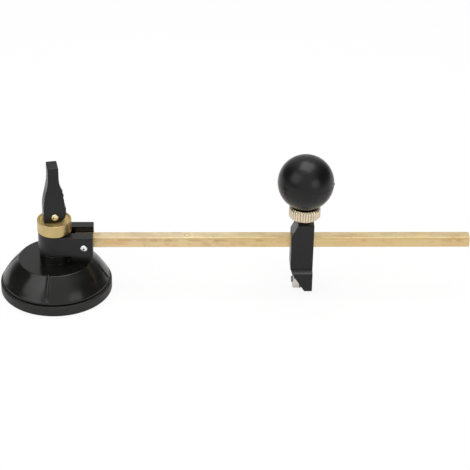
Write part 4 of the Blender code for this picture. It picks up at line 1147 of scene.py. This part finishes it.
def turret_shape(size):
    """The turret: two flanges with turned edges, a groove for the wheels, a counterbore and the pin holes."""
    left, right = TURRET_LEFT, TURRET_RIGHT
    radius = TURRET_HIGH.z - TURRET_AXIS.z
    groove = left + size.groove_place
    circle = (wheel_centre(1) - TURRET_AXIS).length
    core = circle - size.wheel_radius - GAP
    step = left + COUNTERBORE_DEPTH
    corners = [
        (SCREW_BORE, step, 0.0001),
        (COUNTERBORE_RADIUS, step, 0),
        (COUNTERBORE_RADIUS, left, 0.00012),
        (radius, left, 0.0004),
        (radius, groove, 0.00015),
        (core, groove, 0.0001),
        (core, groove + size.groove_width, 0.0001),
        (radius, groove + size.groove_width, 0.00015),
        (radius, right, 0.0004),
        (SCREW_BORE, right, 0.0001),
    ]
    holes = []
    for number in range(1, WHEEL_COUNT + 1):
        hole = post(size.wheel_pin + GAP / 2, left - OVERRUN, right + OVERRUN, 24)
        holes.append(on_turret(hole, wheel_centre(number)))
    return carved(on_turret(spun(rounded(corners, 5), 96)), *holes)


def screw_shape():
    """The turret's screw: a cheese head with a slot and a plain shank."""
    head = SCREW_HIGH.z - TURRET_AXIS.z
    left = SCREW_LOW.x - TURRET_AXIS.x
    right = SCREW_HIGH.x - TURRET_AXIS.x
    under = left + SCREW_HEAD_HEIGHT
    crown = [(0, left, 0), (head, left, 0.0002), (head, under, 0)]
    corners = [*crown, (SCREW_SHANK, under, 0), (SCREW_SHANK, right, 0), (0, right, 0)]
    side = head + OVERRUN
    start = (SCREW_LOW.x - OVERRUN, -side, -SCREW_SLOT_HALF)
    slot = box(start, (SCREW_LOW.x + SCREW_SLOT_DEPTH, side, SCREW_SLOT_HALF))
    moved(slot, Vector((0, TURRET_AXIS.y, TURRET_AXIS.z)), Matrix.Rotation(SCREW_SLOT_TURN, 4, "X"))
    return carved(on_turret(spun(rounded(corners, 4), 48, closed=False)), slot)


def washer_shape():
    """The thin washer under the screw's head."""
    outer = WASHER_HIGH.z - TURRET_AXIS.z
    low, high = WASHER_LOW.x - TURRET_AXIS.x, WASHER_HIGH.x - TURRET_AXIS.x
    path = [(SCREW_BORE, low), (outer, low), (outer, high), (SCREW_BORE, high)]
    return on_turret(spun(rounded([(*corner, WASHER_EDGE) for corner in path], 3), 48))


def wheel_shape(size, number):
    """One cutting wheel: flat hub, ground bevels that meet in a keen edge, and its bore."""
    half = size.wheel_thickness / 2
    shoulder = size.wheel_radius - WHEEL_BEVEL
    bore = size.wheel_pin + GAP / 2
    corners = [
        (bore, -half, 0.00004),
        (shoulder, -half, 0.00003),
        (size.wheel_radius, 0, 0),
        (shoulder, half, 0.00003),
        (bore, half, 0.00004),
    ]
    return on_turret(spun(rounded(corners, 3), 56), wheel_centre(number))


def wheel_pin_shape(size, number):
    """The axle pin of one wheel, with rounded ends."""
    pin = post(size.wheel_pin, TURRET_LEFT + GAP, TURRET_RIGHT - GAP, 24, 0.00008)
    return on_turret(pin, wheel_centre(number))


class CUTTER_OT_rubber_cup(bpy.types.Operator):
    """Model the rubber suction cup"""

    bl_idname = "circle_cutter.rubber_cup"
    bl_label = "Rubber cup"

    def execute(self, context):
        cup = finished("suction_cup", cup_shape(context.scene.cutter_cup), finish("rubber"))
        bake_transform(cup)
        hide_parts("rubber_cup")
        return {"FINISHED"}


class CUTTER_OT_bell_housing(bpy.types.Operator):
    """Model the bell housing over the cup"""

    bl_idname = "circle_cutter.bell_housing"
    bl_label = "Bell housing"

    def execute(self, context):
        shape = bell_shape(context.scene.cutter_cup)
        piece("bell", shape, "housing", "cup", "housing_plastic", "bell_housing", sharp=math.radians(50))
        return {"FINISHED"}


class CUTTER_OT_collar(bpy.types.Operator):
    """Model the brass collar"""

    bl_idname = "circle_cutter.collar"
    bl_label = "Brass collar"

    def execute(self, context):
        shape = collar_shape(context.scene.cutter_cup)
        piece("collar", shape, "collar", "cup", "collar_brass", "brass_collar")
        return {"FINISHED"}


class CUTTER_OT_lever(bpy.types.Operator):
    """Model the cam lever, its pin and the draw stud"""

    bl_idname = "circle_cutter.lever"
    bl_label = "Lever and stud"

    def execute(self, context):
        size = context.scene.cutter_lever
        piece("lever", lever_shape(size), "plastic", "lever", "black_plastic", "cam_lever")
        piece("stud", stud_shape(size), "steel", "stud", "bright_steel", "draw_stud")
        pin = rivet_shape(context.scene.cutter_arm, size.pin_radius, size.base_depth + GAP)
        piece("lever_rivet", facing_lever(pin), "lever_pin", "stud", "pin_brass", "lever_pin")
        return {"FINISHED"}


class CUTTER_OT_arm_holder(bpy.types.Operator):
    """Model the arm holder and its rivet"""

    bl_idname = "circle_cutter.arm_holder"
    bl_label = "Arm holder"

    def execute(self, context):
        size = context.scene.cutter_arm
        piece("holder", holder_shape(size), "plastic", "arm", "black_plastic", "arm_holder")
        rivet = rivet_shape(size, size.rivet_radius, HOLDER_HIGH.y + GAP)
        piece("bar_rivet", moved(rivet, BAR_PIN), "bar_rivet", "arm", "bright_steel", "bar_pin")
        return {"FINISHED"}


class CUTTER_OT_bar(bpy.types.Operator):
    """Model the square brass bar"""

    bl_idname = "circle_cutter.bar"
    bl_label = "Brass bar"

    def execute(self, context):
        piece("bar", bar_shape(context.scene.cutter_arm), "bar", "bar", "bar_brass", "brass_bar")
        return {"FINISHED"}


class CUTTER_OT_head(bpy.types.Operator):
    """Model the cutting head's block"""

    bl_idname = "circle_cutter.head"
    bl_label = "Cutting head"

    def execute(self, context):
        shape = head_shape(context.scene.cutter_head)
        piece("head", shape, "plastic", "head", "black_plastic", "head_block")
        carry_over("thread_insert", "pin")
        return {"FINISHED"}


class CUTTER_OT_clamp(bpy.types.Operator):
    """Model the threaded clamp stud and the knurled nut"""

    bl_idname = "circle_cutter.clamp"
    bl_label = "Clamp and nut"

    def execute(self, context):
        size = context.scene.cutter_clamp
        piece("clamp_thread", threaded_stud_shape(size), "thread", "clamp", "stud_steel", "clamp_stud")
        piece("nut", nut_shape(size), "nickel", "clamp", "nut_nickel", "knurled_nut")
        carry_over("clamp_pad", "pin")
        return {"FINISHED"}


class CUTTER_OT_ball(bpy.types.Operator):
    """Model the ball handle"""

    bl_idname = "circle_cutter.ball"
    bl_label = "Ball handle"

    def execute(self, context):
        piece("ball", ball_shape(context.scene.cutter_clamp), "ball", "ball", "ball_plastic", "ball_handle")
        carry_over("ball_bush", "pin")
        return {"FINISHED"}


class CUTTER_OT_turret(bpy.types.Operator):
    """Model the wheel turret with its screw and washer"""

    bl_idname = "circle_cutter.turret"
    bl_label = "Wheel turret"

    def execute(self, context):
        size = context.scene.cutter_head
        piece("turret_drum", turret_shape(size), "turret", "turret", "turret_steel", "wheel_turret")
        piece("turret_bolt", screw_shape(), "dark_steel", "head", "bright_steel", "turret_screw")
        piece("bolt_washer", washer_shape(), "dark_steel", "head", "bright_steel", "turret_washer")
        return {"FINISHED"}


class CUTTER_OT_wheels(bpy.types.Operator):
    """Model the six cutting wheels and their axle pins"""

    bl_idname = "circle_cutter.wheels"
    bl_label = "Cutting wheels"

    def execute(self, context):
        size = context.scene.cutter_head
        for number in range(1, WHEEL_COUNT + 1):
            wheel = wheel_shape(size, number)
            body = f"wheel_body_{number}"
            piece(f"cutting_wheel_{number}", wheel, "carbide", body, "wheel_carbide", f"wheel_{number}")
            pin = wheel_pin_shape(size, number)
            piece(f"axle_pin_{number}", pin, "steel", "turret", "bright_steel", f"wheel_pin_{number}")
        return {"FINISHED"}


def add_softbox(name, direction, distance, size, power):
    """A square area lamp that shines at the cutter's middle from a direction."""
    middle = Vector((0.1, 0, 0.03))
    lamp = bpy.data.lights.new(name, "AREA")
    lamp.shape = "SQUARE"
    lamp.size = size
    lamp.energy = power
    thing = bpy.data.objects.new(name, lamp)
    away = Vector(direction).normalized()
    thing.location = middle + away * distance
    thing.rotation_euler = away.to_track_quat("Z", "Y").to_euler()
    bpy.context.scene.collection.objects.link(thing)


def floor_finish(colour):
    """A pale floor that looks white and still takes a soft shadow."""
    made = Finish("floor_finish", colour, 0.9, specular=0.1)
    glow = made.node("ShaderNodeEmission", Strength=1.0).outputs["Emission"]
    made.surface("Material Output", made.background(0.88, 0.55), made.shader.outputs["BSDF"], glow)
    return made.material


def build_world(strength):
    """A pale surround, white to the eye and, in mirrored rays, dimmer at the back and dark to either side."""
    world = bpy.data.worlds.new("studio")
    bpy.context.scene.world = world
    made = Nodes(world)
    plain = made.tree.nodes["Background"]
    plain.inputs["Color"].default_value = (1, 1, 1, 1)
    plain.inputs["Strength"].default_value = strength
    where = made.node("ShaderNodeTexCoord").outputs["Generated"]
    split = made.node("ShaderNodeSeparateXYZ", Vector=where).outputs
    sides = made.spread(made.math("ABSOLUTE", split["X"]), 0.40, 0.80, 1.0, 0.10)
    back = made.spread(split["Y"], 0.0, 0.7, 1.0, 0.76)
    eye = made.node("ShaderNodeLightPath").outputs["Is Camera Ray"]
    shown = made.math("MAXIMUM", made.product(sides, back), eye)
    white = made.node("ShaderNodeBackground", Color=shown).outputs["Background"]
    made.surface("World Output", made.background(), plain.outputs["Background"], white)


def build_camera(size):
    """The camera at the photograph's angle, framed for a square picture."""
    level = math.cos(size.pitch)
    ahead = Vector((math.sin(size.yaw) * level, math.cos(size.yaw) * level, -math.sin(size.pitch)))
    right = Vector((math.cos(size.yaw), -math.sin(size.yaw), 0))
    up = right.cross(ahead)
    across = right * math.cos(size.roll) + up * math.sin(size.roll)
    above = up * math.cos(size.roll) - right * math.sin(size.roll)
    data = bpy.data.cameras.new("view")
    data.sensor_width = 36
    data.lens = size.lens
    data.clip_start = 0.01
    camera = bpy.data.objects.new("view", data)
    matrix = Matrix((across, above, -ahead)).transposed().to_4x4()
    matrix.translation = Vector(size.target) - ahead * size.distance
    camera.matrix_world = matrix
    bpy.context.scene.collection.objects.link(camera)
    bpy.context.scene.camera = camera


class CUTTER_OT_stage(bpy.types.Operator):
    """Set the floor, the soft lamps, the surround and the camera"""

    bl_idname = "circle_cutter.stage"
    bl_label = "Stage"

    def execute(self, context):
        size = context.scene.cutter_stage
        shape = bmesh.new()
        bmesh.ops.create_grid(shape, x_segments=1, y_segments=1, size=4)
        bmesh.ops.translate(shape, verts=shape.verts, vec=(0, 0, -FLOOR_DROP))
        finished("floor", shape, floor_finish(size.floor))
        add_softbox("softbox_top", (0.065, 0.115, 0.991), 0.85, 0.62, size.top_power)
        add_softbox("softbox_left", (-0.696, -0.435, 0.571), 0.90, 0.60, size.left_power)
        add_softbox("softbox_right", (0.603, -0.731, 0.314), 0.90, 0.42, size.right_power)
        build_world(size.surround)
        build_camera(size)
        context.scene.view_settings.view_transform = "Standard"
        return {"FINISHED"}


OPERATORS = (
    CUTTER_OT_rubber_cup,
    CUTTER_OT_bell_housing,
    CUTTER_OT_collar,
    CUTTER_OT_lever,
    CUTTER_OT_arm_holder,
    CUTTER_OT_bar,
    CUTTER_OT_head,
    CUTTER_OT_clamp,
    CUTTER_OT_ball,
    CUTTER_OT_turret,
    CUTTER_OT_wheels,
    CUTTER_OT_stage,
)


class CUTTER_PT_panel(bpy.types.Panel):
    """Lists the cutter's pieces and their settings"""

    bl_idname = "CUTTER_PT_panel"
    bl_label = "Circle Cutter"
    bl_space_type = "VIEW_3D"
    bl_region_type = "UI"
    bl_category = "Circle Cutter"

    def draw(self, context):
        for operator in OPERATORS:
            self.layout.operator(operator.bl_idname)
        for name, group in GROUPS.items():
            column = self.layout.box().column()
            column.label(text=group.__doc__)
            for key in group.__annotations__:
                column.prop(getattr(context.scene, name), key)


CLASSES = (*GROUPS.values(), *OPERATORS, CUTTER_PT_panel)


def register():
    """Register the classes and hang the settings on the scene."""
    for kind in CLASSES:
        bpy.utils.register_class(kind)
    for name, group in GROUPS.items():
        setattr(bpy.types.Scene, name, PointerProperty(type=group))


def unregister():
    """Take the settings and the classes away again."""
    for name in GROUPS:
        delattr(bpy.types.Scene, name)
    for kind in reversed(CLASSES):
        bpy.utils.unregister_class(kind)


def main():
    """Register the settings, then build every piece and the stage."""
    register()
    for operator in OPERATORS:
        family, name = operator.bl_idname.split(".")
        getattr(getattr(bpy.ops, family), name)()


if __name__ == "__main__":
    main()
